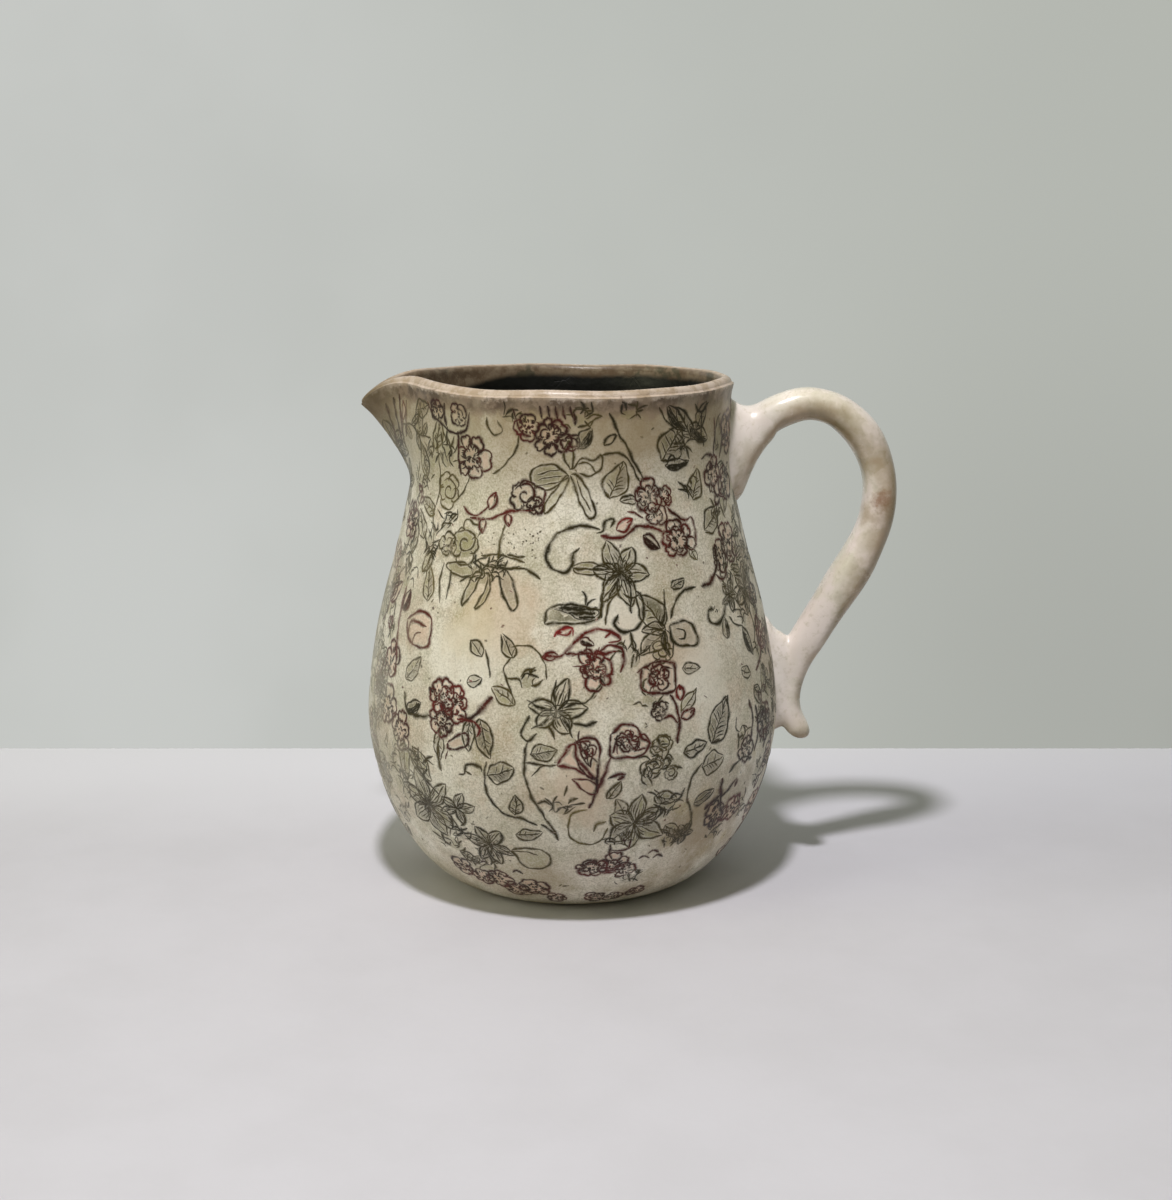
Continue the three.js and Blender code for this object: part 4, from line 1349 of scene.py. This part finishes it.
def draw_belly_lower():
    # Star flower left of the middle, its tendril and long stem.
    star_flower(Motif(-3.6, 80.6, 14), 21, 5, 0.25, 0.8)
    for turn in (15, 90, 160, 215, 300):
        motif = Motif(-3.6, 80.6, turn)
        motif.line([(3, 0.4), (7, 1.0), (10.5, 0)], 1.1, "green", 0.12)
    line([(-10.6, 79), (-12.6, 73), (-11, 70), (-8.6, 73)], 1.0, "green", 0.2)
    line([(0.6, 76.6), (4.6, 76), (7, 77)], 1.2, "green", 0.15)
    line([(3.6, 83), (6.6, 87), (8.4, 90)], 0.9, "green", 0.25)
    leaf(Motif(-14.6, 82, 140), 10, 5.4, hatch=4, tone=0.5, tint=0.85)
    line([(-11, 70), (-11.8, 64), (-11.6, 57), (-10, 50), (-7, 43), (-4.6, 37.6), (-3.4, 33.6)], 1.05,
         "green", 0.25)
    line([(-8, 40), (-5.6, 38), (-3.6, 34.6)], 1.4, "green", 0.1)
    leaf(Motif(-10.4, 66, 2), 9.5, 6, hatch=6, tone=0.3, tint=0.8)
    line([(-12, 63), (-8, 62.2), (-3.4, 62.2)], 0.9, "green", 0.25)
    line([(-10, 58), (-7.6, 61.4), (-4, 62)], 0.7, "green", 0.3)
    line([(-0.8, 55), (-1.6, 51)], 0.8, "green", 0.5)
    line([(-4, 71), (-5.6, 76)], 1.2, "green", 0.2)
    # The pair of tulips.
    shape([(1, 70.4), (5, 71.6), (7.4, 69.4), (7.2, 64), (6.6, 57.4), (3, 60), (1.6, 65)], 1.2, "red", 0.25,
          0.8)
    shape([(-3.4, 62.4), (-1.6, 66.4), (1, 69.6), (2, 64), (6, 57.6), (1.6, 60.6)], 1.3, "red", 0.4, 0.8)
    for shift in (0, 1.6, 3.2):
        line([(2.6 + shift, 69 - shift / 2), (3 + shift * 0.8, 65), (5, 61.4)], 0.8, "red", 0.2)
    scribble(Motif(4.6, 65.6), 5, 8, 7, 0.3, 0, "red", 0.75)
    scribble(Motif(15, 69), 8, 8, 9, 0.3, 0, "red", 0.75)
    blossom(Motif(14.8, 69.8, 50), 8, 4, "red", 0.25, 0.9, 0)
    blossom(Motif(4.4, 67.4), 6, 3, "red", 0.25, 0.9, 0)
    line([(6.4, 58), (6.8, 54.4), (6, 50), (4.6, 46.4)], 1.5, "red", 0.15)
    shape([(0.4, 57.6), (3, 53.4), (6.6, 51.6), (6.8, 55), (4, 57)], 0.9, "red", 0.3, 0.8)
    shape([(10.4, 72.6), (13.4, 75.4), (17.4, 74.4), (18.4, 70.6), (20.8, 68.4), (18.4, 64.6), (14, 64.2),
           (10.6, 64.6),
           (10, 68.4)], 1.25, "red", 0.25, 0.85)
    line([(10.6, 66), (12.4, 71), (15, 70.6), (16.6, 66.6), (20, 67)], 1.1, "red", 0.25)
    line([(15.6, 74), (15.8, 70.6), (18, 69)], 0.9, "red", 0.25)
    line([(12, 70), (12, 65.6)], 0.8, "red", 0.35)
    line([(10.4, 65), (9, 60), (7.8, 56), (7, 53)], 1.6, "red", 0.35)
    line([(9.4, 57), (11.6, 58.4), (14, 58), (12, 56.6)], 1.4, "red", 0.1)
    leaf(Motif(9.4, 49.6, 44), 8, 3.4, hatch=2, tone=0.45, tint=0.5)
    leaf(Motif(14.6, 43, 112), 7.4, 4.4, hatch=1, tone=0.4, tint=0.6)
    line([(4.4, 46), (0.6, 44.4), (-0.8, 39), (0.6, 34), (4.6, 32), (8.6, 33.6), (10, 38.4)], 0.75, "green",
         0.7)
    line([(6.4, 37), (7, 40), (9.6, 41)], 1.2, "green", 0.7)
    # Hatched star flower low on the right.
    lily(Motif(17.4, 39.4, 20), 24, 6, 0.4, 0.85, 0.3, 0.85)
    leaf(Motif(22.6, 49, -20), 9, 5, hatch=5, tone=0.4, tint=0.85)
    leaf(Motif(24, 42, 200), 9, 5, hatch=4, tone=0.35, tint=0.85)
    star_flower(Motif(34, 32), 10.5, 5, 0.25, 0.8)
    leaf(Motif(27, 37, -40), 9, 4.4, hatch=4, tone=0.4, tint=0.8)
    # Small rosettes and a hanging leaf to the right.
    rose(Motif(24.6, 68), 8, "green", 0.5, 0.7, 0.7)
    rose(Motif(22.4, 60.6), 6.5, "green", 0.5, 0.7, 0.7)
    rose(Motif(27, 57), 5.6, "green", 0.35, 0.75, 0.7)
    leaf(Motif(30.4, 63.4, 6), 10.4, 4.8, hatch=3, tone=0.2, tint=0.5)
    leaf(Motif(36.6, 57, 4), 10.4, 8.4, hatch=7, tone=0.35, tint=0.6)
    line([(36.6, 58.6), (33.6, 53.6), (32.8, 47), (34.6, 41.4), (36.2, 35.4), (35, 29)], 0.95, "green", 0.3)
    leaf(Motif(35.4, 43.4, 18), 9.6, 4.6, hatch=4, tone=0.15, tint=0.95)
    leaf(Motif(39.6, 64.6, 58), 17.5, 9.4, hatch=9, tone=0.12, tint=0.95, pen=0.9, bend=0.05)
    line([(46, 77), (47, 80)], 1.3, "green", 0.1)
    # Dark red sprig low on the right.
    line([(45, 50.6), (45, 47), (45.6, 43.6), (46.6, 39), (49, 35)], 1.7, "red", 0.1)
    line([(45.4, 44), (41.6, 41.4), (40, 39.6)], 1.7, "red", 0.1)
    line([(46, 43), (49, 45.6), (51.6, 48), (51.6, 45)], 1.5, "red", 0.12)
    blossom(Motif(45.6, 36.6, 30), 11, 5, "red", 0.2, 1.1, 0.9)
    blossom(Motif(53, 36), 11, 5, "red", 0.3, 1.0, 0.8)
    # Edge leaves on the right.
    for at, low, high in ((56.4, 60, 76), (59.6, 56, 73), (63, 58, 74), (66, 55, 70)):
        line([(at, high), (at + 1.4, (low + high) / 2), (at - 0.6, low)], 1.3, "red", 0.08)
    blossom(Motif(54.4, 58.6), 10, 5, "red", 0.12, 1.0, 0.5)
    leaf(Motif(60, 80, -60), 10, 5, hatch=4, tone=0.3, tint=0.8)
    line([(47.4, 51.6), (50, 54.6), (54, 55.6), (58, 54)], 1.3, "green", 0.15)
    leaf(Motif(66, 76, 70), 10, 5, hatch=4, tone=0.35, tint=0.8)


def draw_belly_left():
    # Red cluster on the left of the belly.
    blossom(Motif(-36.8, 82.6, 30), 12, 5, "red", 0.4, 1.15, 0.9)
    blossom(Motif(-32.4, 80.6, 80), 13, 5, "red", 0.45, 1.15, 0.9, 1.1)
    peony(Motif(-36, 73.6), 11.5, "red", 0.3, 1.15, 0.9)
    line([(-30.4, 76.6), (-27, 76), (-24.6, 78.6), (-22.6, 82), (-20.6, 84)], 1.9, "red", 0.2)
    line([(-31, 75.4), (-26, 75), (-24, 73), (-25, 70)], 1.6, "red", 0.5)
    line([(-41.4, 84), (-39.6, 82.4)], 1.8, "red", 0.1)
    shape([(-33.6, 66.4), (-29.4, 70.6), (-27.4, 69.4), (-28.4, 65.8), (-33, 64.4)], 1.2, "red", 0.2, 0.8)
    leaf(Motif(-24, 76.4, -80), 14, 6.4, hatch=6, tone=0.2, tint=0.9)
    leaf(Motif(-27, 75.6, -98), 11, 4.6, hatch=4, tone=0.25, tint=0.9)
    leaf(Motif(-36.4, 70.6, -96), 11, 4.6, hatch=2, tone=0.3, tint=0.8)
    line([(-36, 70), (-37, 62), (-36, 55.6)], 1.3, "green", 0.5)
    line([(-33.6, 63.6), (-34.4, 60.4)], 0.9, "red", 0.2)
    # Brown and green edge of the belly.
    blossom(Motif(-60, 72.6), 14, 5, "red", 0.22, 1.0, 0.6, 1.1)
    blossom(Motif(-52, 66), 12, 5, "red", 0.2, 1.0, 0.7, 1.1)
    peony(Motif(-68, 80), 13, "red", 0.3, 1.0, 0.6, 1.1)
    line([(-51.4, 80), (-50, 75), (-46, 73), (-40, 74.4)], 1.5, "green", 0.3)
    leaf(Motif(-50, 74, 20), 9, 4.6, hatch=3, tone=0.25, tint=0.9, dark=True)
    leaf(Motif(-46.6, 62, -60), 14, 7.4, hatch=6, tone=0.45, tint=0.95)
    leaf(Motif(-50, 62.4, -100), 14, 6.4, hatch=5, tone=0.5, tint=0.95)
    line([(-51, 63), (-46, 56), (-41.6, 50), (-38, 46)], 1.1, "green", 0.25)
    # Drawn lilies near the base.
    lily(Motif(-43, 40.6, 25), 27, 6, 0.35, 0.9, 0.27, 0.8)
    star_flower(Motif(-43, 40.6), 9, 5, 0.2, 0.8)
    lily(Motif(-32.6, 42.4, 70), 16, 5, 0.3, 0.8, 0.26, 0.6)
    lily(Motif(-24, 29.6, 40), 19, 6, 0.25, 0.9, 0.26, 0.75)
    dots(Motif(-24, 27), 14, 10, 30, 0.1)
    shape([(-17.4, 28.6), (-12, 30), (-7.4, 28.6), (-5.8, 24.6), (-9, 21.4), (-14, 21.6)], 0.9, "green",
          0.4, 0.4)
    line([(-20, 27.4), (-14, 28.4), (-9.6, 27)], 0.6, "green", 0.5)
    leaf(Motif(-15.4, 35, 4), 9.6, 4.6, hatch=4, tone=0.4, tint=0.8)
    # Stem with small leaves between the lilies.
    line([(-22, 62), (-22.8, 56), (-22.4, 51), (-20.6, 46), (-17, 42.6), (-12.6, 41.6), (-9, 39.4)], 1.0,
         "green", 0.2)
    leaf(Motif(-22, 57, 12), 10.4, 7.4, hatch=7, tone=0.25, tint=0.9)
    leaf(Motif(-15, 43, 78), 8, 4.6, hatch=5, tone=0.3, tint=0.7)
    line([(-30.4, 55.6), (-28.6, 56.4), (-27.8, 60), (-24, 59.6), (-23.6, 58)], 1.1, "green", 0.25)
    line([(-28.4, 57.6), (-26.4, 56.4)], 0.8, "green", 0.3)


def draw_foot():
    # Red flowers round the foot of the front.
    peony(Motif(6.4, 21.4, 0), 12.5, "red", 0.3, 1.0, 0.9, 0.8)
    peony(Motif(12.6, 22.6, 30), 12, "red", 0.25, 1.0, 0.9, 0.85)
    blossom(Motif(16.6, 20.4, 0), 9, 4, "red", 0.2, 1.0, 0.8, 0.9)
    line([(11.4, 31.6), (11.2, 27.6), (12.4, 25)], 1.2, "red", 0.15)
    line([(11.4, 29), (14, 28.6), (16.6, 29.4), (17.4, 33)], 0.9, "red", 0.15)
    line([(15.4, 32), (15, 33.4)], 1.6, "red", 0.05)
    line([(-3, 13), (-0.6, 13.4)], 1.0, "green", 0.3)
    for at, height, size in ((-31, 13.6, 11), (-24.4, 14.6, 12), (-19, 10, 11), (-12.6, 11.4, 12),
                             (-5.6, 6.6, 8.6),
                             (-38, 17, 10), (9, 7, 9), (16, 6.4, 8), (24, 8, 8)):
        blossom(Motif(at, height), size, 5, "red", 0.22, 0.95, 0.9, 0.9)
    for at, height in ((22.4, 24), (25, 26), (27, 23.6), (-17.4, 18.4), (-28, 20.6)):
        line([(at - 1.6, height), (at, height + 1), (at + 2, height - 0.4)], 1.1, "red", 0.12)
    leaf(Motif(-36, 24, -30), 9, 4.4, hatch=4, tone=0.3, tint=0.8)


# Half-worn leaves between the larger flowers: degrees from the front, height, width, depth.
WORN_LEAVES = (
    (-66, 148, 9, 14), (-58, 158, 9, 13), (-68, 134, 8, 14), (-52, 131, 9, 12), (-62, 118, 8, 16),
    (-70, 108, 8, 16),
    (-72, 92, 8, 16), (-66, 68, 10, 16), (-58, 54, 10, 14), (-44, 54, 9, 12), (-52, 44, 10, 12),
    (-34, 33, 9, 9),
    (-38, 27, 12, 8), (24, 63, 9, 12), (20, 55, 7, 8), (14, 33, 10, 6), (26, 44, 9, 10), (30, 30, 12, 8),
    (21, 83, 6, 9), (17, 98, 7, 9), (56, 118, 8, 11), (62, 122, 8, 14), (60, 106, 7, 12), (66, 88, 7, 14),
    (62, 66, 8, 14), (40, 164, 9, 9), (62, 166, 7, 12), (68, 150, 7, 14), (43, 150, 6, 9), (56, 141, 7, 9),
    (-47, 162, 8, 10), (-45, 139, 8, 8), (-24, 126, 12, 7), (-30, 19, 13, 6), (20, 15, 12, 6),
    (-12, 90, 7, 6),
    (-3, 47, 9, 7), (52, 62, 7, 11), (66, 62, 7, 13), (48, 28, 8, 8), (-70, 120, 8, 18), (-74, 104, 7, 18),
    (-64, 98, 7, 12), (-66, 84, 8, 14), (-74, 78, 8, 18), (-70, 62, 8, 18), (-64, 44, 9, 14),
    (-58, 32, 9, 12),
    (70, 132, 7, 16), (72, 118, 7, 16), (70, 104, 7, 14), (72, 92, 7, 14), (70, 78, 8, 14), (72, 60, 8, 16),
    (64, 46, 9, 12), (58, 34, 9, 10), (3, 176, 10, 6), (-20, 177, 8, 5), (20, 178, 9, 4), (5, 114, 6, 4),
)
# Square millimetres to a stroke in these leaves, and where the sparser edges of the front start.
LEAF_CROWDING = 5.5
EDGE_CROWDING = 8.5
LEAF_EDGE = 58
# Where the handle's roots keep the print off: degrees from the front, and heights.
HANDLE_ANGLE = 90
ROOT_HALF_ANGLE = 10
ROOT_HEIGHTS = ((138, 182), (46, 98))
# Strips that stay plain: one behind the spout, and one where the front's own marks begin.
PLAIN_STRIPS = ((238, 250), (296, 298))
# The pattern round the sides and back: degrees from the front, and millimetres between flowers.
BACK_START = 66
BACK_SPAN = 232
BACK_LOWEST = 9
BACK_TOP_GAP = 13
ROW_GAP = 14.8
FLOWER_GAP = 16.5
BACK_SEED = 23
SPECKS = 150
SPECK_SEED = 5
QUARTERS = ("left", "front", "right", "back")


def draw_worn_leaves():
    """Scribbled leaves, sparser at the edges of the front."""
    for at, height, wide, tall in WORN_LEAVES:
        motif = Motif(at, height)
        crowding = LEAF_CROWDING if abs(at) < LEAF_EDGE else EDGE_CROWDING
        scribble(motif, wide, tall, round(wide * tall / crowding), motif.rng.uniform(0.1, 0.45))


def draw_specks():
    """Short stray strokes all over the front."""
    rng = random.Random(SPECK_SEED)
    for _ in range(SPECKS):
        at = rng.uniform(-62, 62)
        height = rng.uniform(12, 176)
        end = (at + rng.uniform(-1.2, 1.2), height + rng.uniform(-1.2, 1.2))
        pen = rng.uniform(0.4, 0.9)
        ink = rng.choice(("green", "green", "red"))
        line([(at, height), end], pen, ink, rng.uniform(0.2, 0.7), rng.uniform(0.5, 0.9))


def left_plain(turn, height):
    in_strip = any(low < turn < high for low, high in PLAIN_STRIPS)
    by_root = any(low < height < high for low, high in ROOT_HEIGHTS)
    return in_strip or (by_root and abs(turn - HANDLE_ANGLE) <= ROOT_HALF_ANGLE)


def draw_back():
    """The pattern carries on round the sides and back, in rows of mixed flowers."""
    rng = random.Random(BACK_SEED)
    row = 0
    u = along_side(BACK_LOWEST)
    while u < TOP - BACK_TOP_GAP:
        height = float(np.interp(u, SIDE_LENGTH, SIDE[:, 1]))
        count = int(BACK_SPAN / math.degrees(FLOWER_GAP / float(radius_at(u))))
        for k in range(count):
            turn = BACK_START + (k + 0.5 * (row % 2) + rng.uniform(-0.22, 0.22)) * (BACK_SPAN / count)
            level = height + rng.uniform(-3.5, 3.5)
            if not left_plain(turn, level):
                draw_mixed(turn, min(max(level, 8), 176), rng)
        u += ROW_GAP
        row += 1


def draw_mixed(turn, height, rng):
    """One flower or spray, picked at random."""
    motif = Motif(turn, height, rng.uniform(-50, 50), rng.random() < 0.5, rng.randint(1, 9999))
    tone = rng.uniform(0.15, 0.45)
    kind = rng.random()
    if kind < 0.20:
        peony(motif, rng.uniform(13, 17), "red", tone, 1.05, 0.85)
        vine(motif, [(6, 3), (9, 6), (10, 10)], 2, tone, 1.0, "red", 4.5)
    elif kind < 0.32:
        blossom(motif, rng.uniform(10, 13), 5, "red", tone, 1.05, 0.85)
        bud(motif, 5.5, -40, tone, 1.0, (7, -4))
        motif.line([(2, -5), (5, -5), (8, -4)], 1.1, "red", tone)
    elif kind < 0.38:
        tulip(motif, 12, tone)
        motif.line([(0, 0), (0.6, -5), (-1.5, -10)], 1.3, "red", tone)
    elif kind < 0.58:
        lily(motif, rng.uniform(19, 26), 6, tone, 0.9, 0.26, 0.8)
    elif kind < 0.68:
        star_flower(motif, rng.uniform(15, 20), 5, tone, 0.85)
        scroll(motif, 10, tone * 0.6, 1.2)
    elif kind < 0.78:
        rose(motif, rng.uniform(11, 14), "green", tone + 0.15, 0.85, 0.8)
        leaf(motif, 10, 5, 5, tone, start=(5, -5), turn=-35)
    elif kind < 0.90:
        vine(motif, [(-9, -8), (-4, -2), (2, 1), (7, 7)], 4, tone, 0.9, "green", 6.5)
        leaf(motif, 11, 6, 6, tone, start=(-6, 4), turn=60)
    else:
        leaf(motif, 13, 8, 7, tone, start=(-3, -6), turn=70)
        leaf(motif, 10, 4.6, 4, tone, dark=True, start=(2, -5), turn=20)
        leaf(motif, 9, 4.6, 4, tone, start=(-4, -5), turn=150)


def quarter(places):
    """Quarter of the vessel that a mark lies in."""
    turn = (math.degrees(places[:, 0].mean()) + 45) % 360
    return QUARTERS[int(turn // 90) % 4]


DRAWN_PARTS = (
    draw_neck_left, draw_neck_middle, draw_neck_right, draw_shoulder_left, draw_belly_middle,
    draw_belly_lower, draw_belly_left, draw_foot, draw_worn_leaves, draw_specks, draw_back,
)


def build_print(group):
    """One piece per ink, kind of mark and quarter of the vessel."""
    for draw_part in DRAWN_PARTS:
        draw_part()
    inks = {ink: print_material(group, *INKS[ink]) for ink in INKS}
    washes = {ink: print_material(group, *WASHES[ink]) for ink in WASHES}
    for ink in ("green", "red"):
        for name in QUARTERS:
            tints = [mark for mark in TINTS[ink] if quarter(mark[0]) == name]
            lifts = [TINT_LIFT[ink] + STACK_STEP * (k % STACK) + (SHADE_LIFT if tints[k][3] else 0)
                     for k in range(len(tints))]
            patches = [patch(*mark[:3], lift) for mark, lift in zip(tints, lifts)]
            strokes = [ribbon(*mark, LINE_LIFT[ink]) for mark in LINES[ink] if quarter(mark[0]) == name]
            yield print_object(f"print_{ink}_wash_{name}", patches, washes[ink])
            yield print_object(f"print_{ink}_line_{name}", strokes, inks[ink])


# ---------------------------------------------------------------- stage, light and camera
TABLE_BACK = 0.150
TABLE_REACH = 6.0
TABLE_DROP = 1.5
WALL_BACK = 1.3
WALL_REACH = 2.6
FLOOR = linear(211, 209, 217)
FLOOR_CLOUD = linear(203, 201, 208)
FLOOR_PAINTED_LIGHT = linear(236, 235, 244)
WALL_LEFT = linear(197, 199, 196)
WALL_MIDDLE = linear(187, 190, 185)
WALL_RIGHT = linear(178, 181, 174)
WALL_LOW = linear(164, 166, 160)
WALL_CLOUD = linear(176, 179, 174)
WALL_PAINT = linear(40, 40, 40)
# Lights: name, stand, target, width, power, colour.
LIGHTS = (
    ("key", (-0.06, -0.35, 0.86), (0, 0, 0.08), 0.08, 5.8, (1.0, 0.975, 1.0)),
    ("fill", (-1.7, -0.75, 1.0), (0, 0, 0.1), 1.2, 9.3, (1.0, 1.0, 0.69)),
)
ROOM_COLOR = (0.95, 1.0, 0.64, 1)
ROOM_STRENGTH = 0.165
SENSOR_WIDTH = 36
FOCAL_SHARE = 1.505
CAMERA_PLACE = (0.0052, -0.657, 0.2436)
CAMERA_TILT = math.radians(12.1)


def add_plane(name, corners, material):
    """Stage plane from its corners in metres."""
    mesh = bpy.data.meshes.new(name)
    mesh.from_pydata(corners, [], [(0, 1, 2, 3)])
    mesh.materials.append(material)
    link_object(name, mesh)


def floor_material():
    material, tree, where = new_material("floor_paint_and_painted_light")
    color = where.noise(60, 5, 0.6).ramp(0.35, 0.7, 0, 0.5).mix(FLOOR, FLOOR_CLOUD)
    # Painted light: the floor grows paler towards its back edge.
    color = lay(color, (where.axis(1), 0.0, 0.15, 0.9, FLOOR_PAINTED_LIGHT))
    finish_material(tree, color, 0.75, where.noise(3, 4).bump(0.15, 0.5))
    return material


def wall_material():
    """Wall that glows with painted light instead of being lit: palest on the left, darker to the right and
    low on the right.
    """
    material, tree, where = new_material("wall_painted_glow")
    x, z = where.axis(0), where.axis(2)
    color = x.ramp(-0.50, 0.02).mix(WALL_LEFT, WALL_MIDDLE)
    color = x.ramp(-0.05, 0.62).mix(color, WALL_RIGHT)
    color = (z.ramp(0.30, -0.30) * x.ramp(0.10, 0.60)).mix(color, WALL_LOW)
    cloud = where.noise(420, 4, 0.5)
    color = lay(color, (cloud, 0.35, 0.65, 0.3, WALL_CLOUD))
    shader = finish_material(tree, WALL_PAINT, 0.9, cloud.bump(0.1, 0.5))
    # The colour is emitted: painted light, not paint lit by the lamps.
    tree.links.new(color.socket, shader.inputs["Emission Color"])
    shader.inputs["Emission Strength"].default_value = 1.0
    return material


def add_stage():
    """Pale table top with its back face, and a pale grey-green wall some way behind it."""
    floor = floor_material()
    reach, back, drop = TABLE_REACH, TABLE_BACK, -TABLE_DROP
    add_plane("floor", [(-reach, -reach, 0), (reach, -reach, 0), (reach, back, 0), (-reach, back, 0)], floor)
    corners = [(reach, back, drop), (-reach, back, drop), (-reach, back, 0), (reach, back, 0)]
    add_plane("table_back", corners, floor)
    reach, back = WALL_REACH, WALL_BACK
    corners = [(-reach, back, drop), (reach, back, drop), (reach, back, reach), (-reach, back, reach)]
    add_plane("wall", corners, wall_material())


def add_lights():
    """Small hard key light above, broad fill from the left, and even light from the room."""
    for name, stand, target, width, power, color in LIGHTS:
        light = bpy.data.lights.new(name, "AREA")
        light.shape = "DISK"
        light.size = width
        light.energy = power
        light.color = color
        lamp = link_object(name, light)
        lamp.location = stand
        lamp.rotation_euler = (Vector(target) - Vector(stand)).to_track_quat("-Z", "Y").to_euler()
    world = bpy.data.worlds.new("room")
    world.use_nodes = True
    background = world.node_tree.nodes["Background"]
    background.inputs["Color"].default_value = ROOM_COLOR
    background.inputs["Strength"].default_value = ROOM_STRENGTH
    bpy.context.scene.world = world
    bpy.context.scene.view_settings.view_transform = "Standard"


def add_camera():
    camera = bpy.data.cameras.new("camera")
    camera.sensor_width = SENSOR_WIDTH
    camera.lens = SENSOR_WIDTH * FOCAL_SHARE
    rig = link_object("camera", camera)
    rig.location = CAMERA_PLACE
    rig.rotation_euler = (math.pi / 2 - CAMERA_TILT, 0, 0)
    bpy.context.scene.camera = rig


# ---------------------------------------------------------------- assembly
def settle(piece, slot, *nodes):
    """Puts a piece on the body, in place of the CAD nodes that it covers. slot is not used."""
    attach(piece, "root")
    if nodes:
        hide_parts(*nodes)


add_camera()
add_lights()
add_stage()

GLAZE = glaze_group()
body = build_body(vessel_material("printed_cream_glaze", GLAZE, BODY_RELIEF))
settle(body, "printed_glaze", "vessel_wall", "pouring_spout")
rim = build_rim(vessel_material("worn_rim_glaze", GLAZE, RIM_RELIEF))
settle(rim, "worn_rim", "rim_lip")
settle(build_lining(lining_material(GLAZE)), "dark_lining", "interior_glaze")
settle(build_base(base_material(GLAZE)), "biscuit_clay", "base_slab")
handle = build_handle(handle_material())
settle(handle, "cream_glaze", "handle_strap", "upper_handle_joint", "lower_handle_joint")
for printed in build_print(GLAZE):
    settle(printed, "printed_glaze")
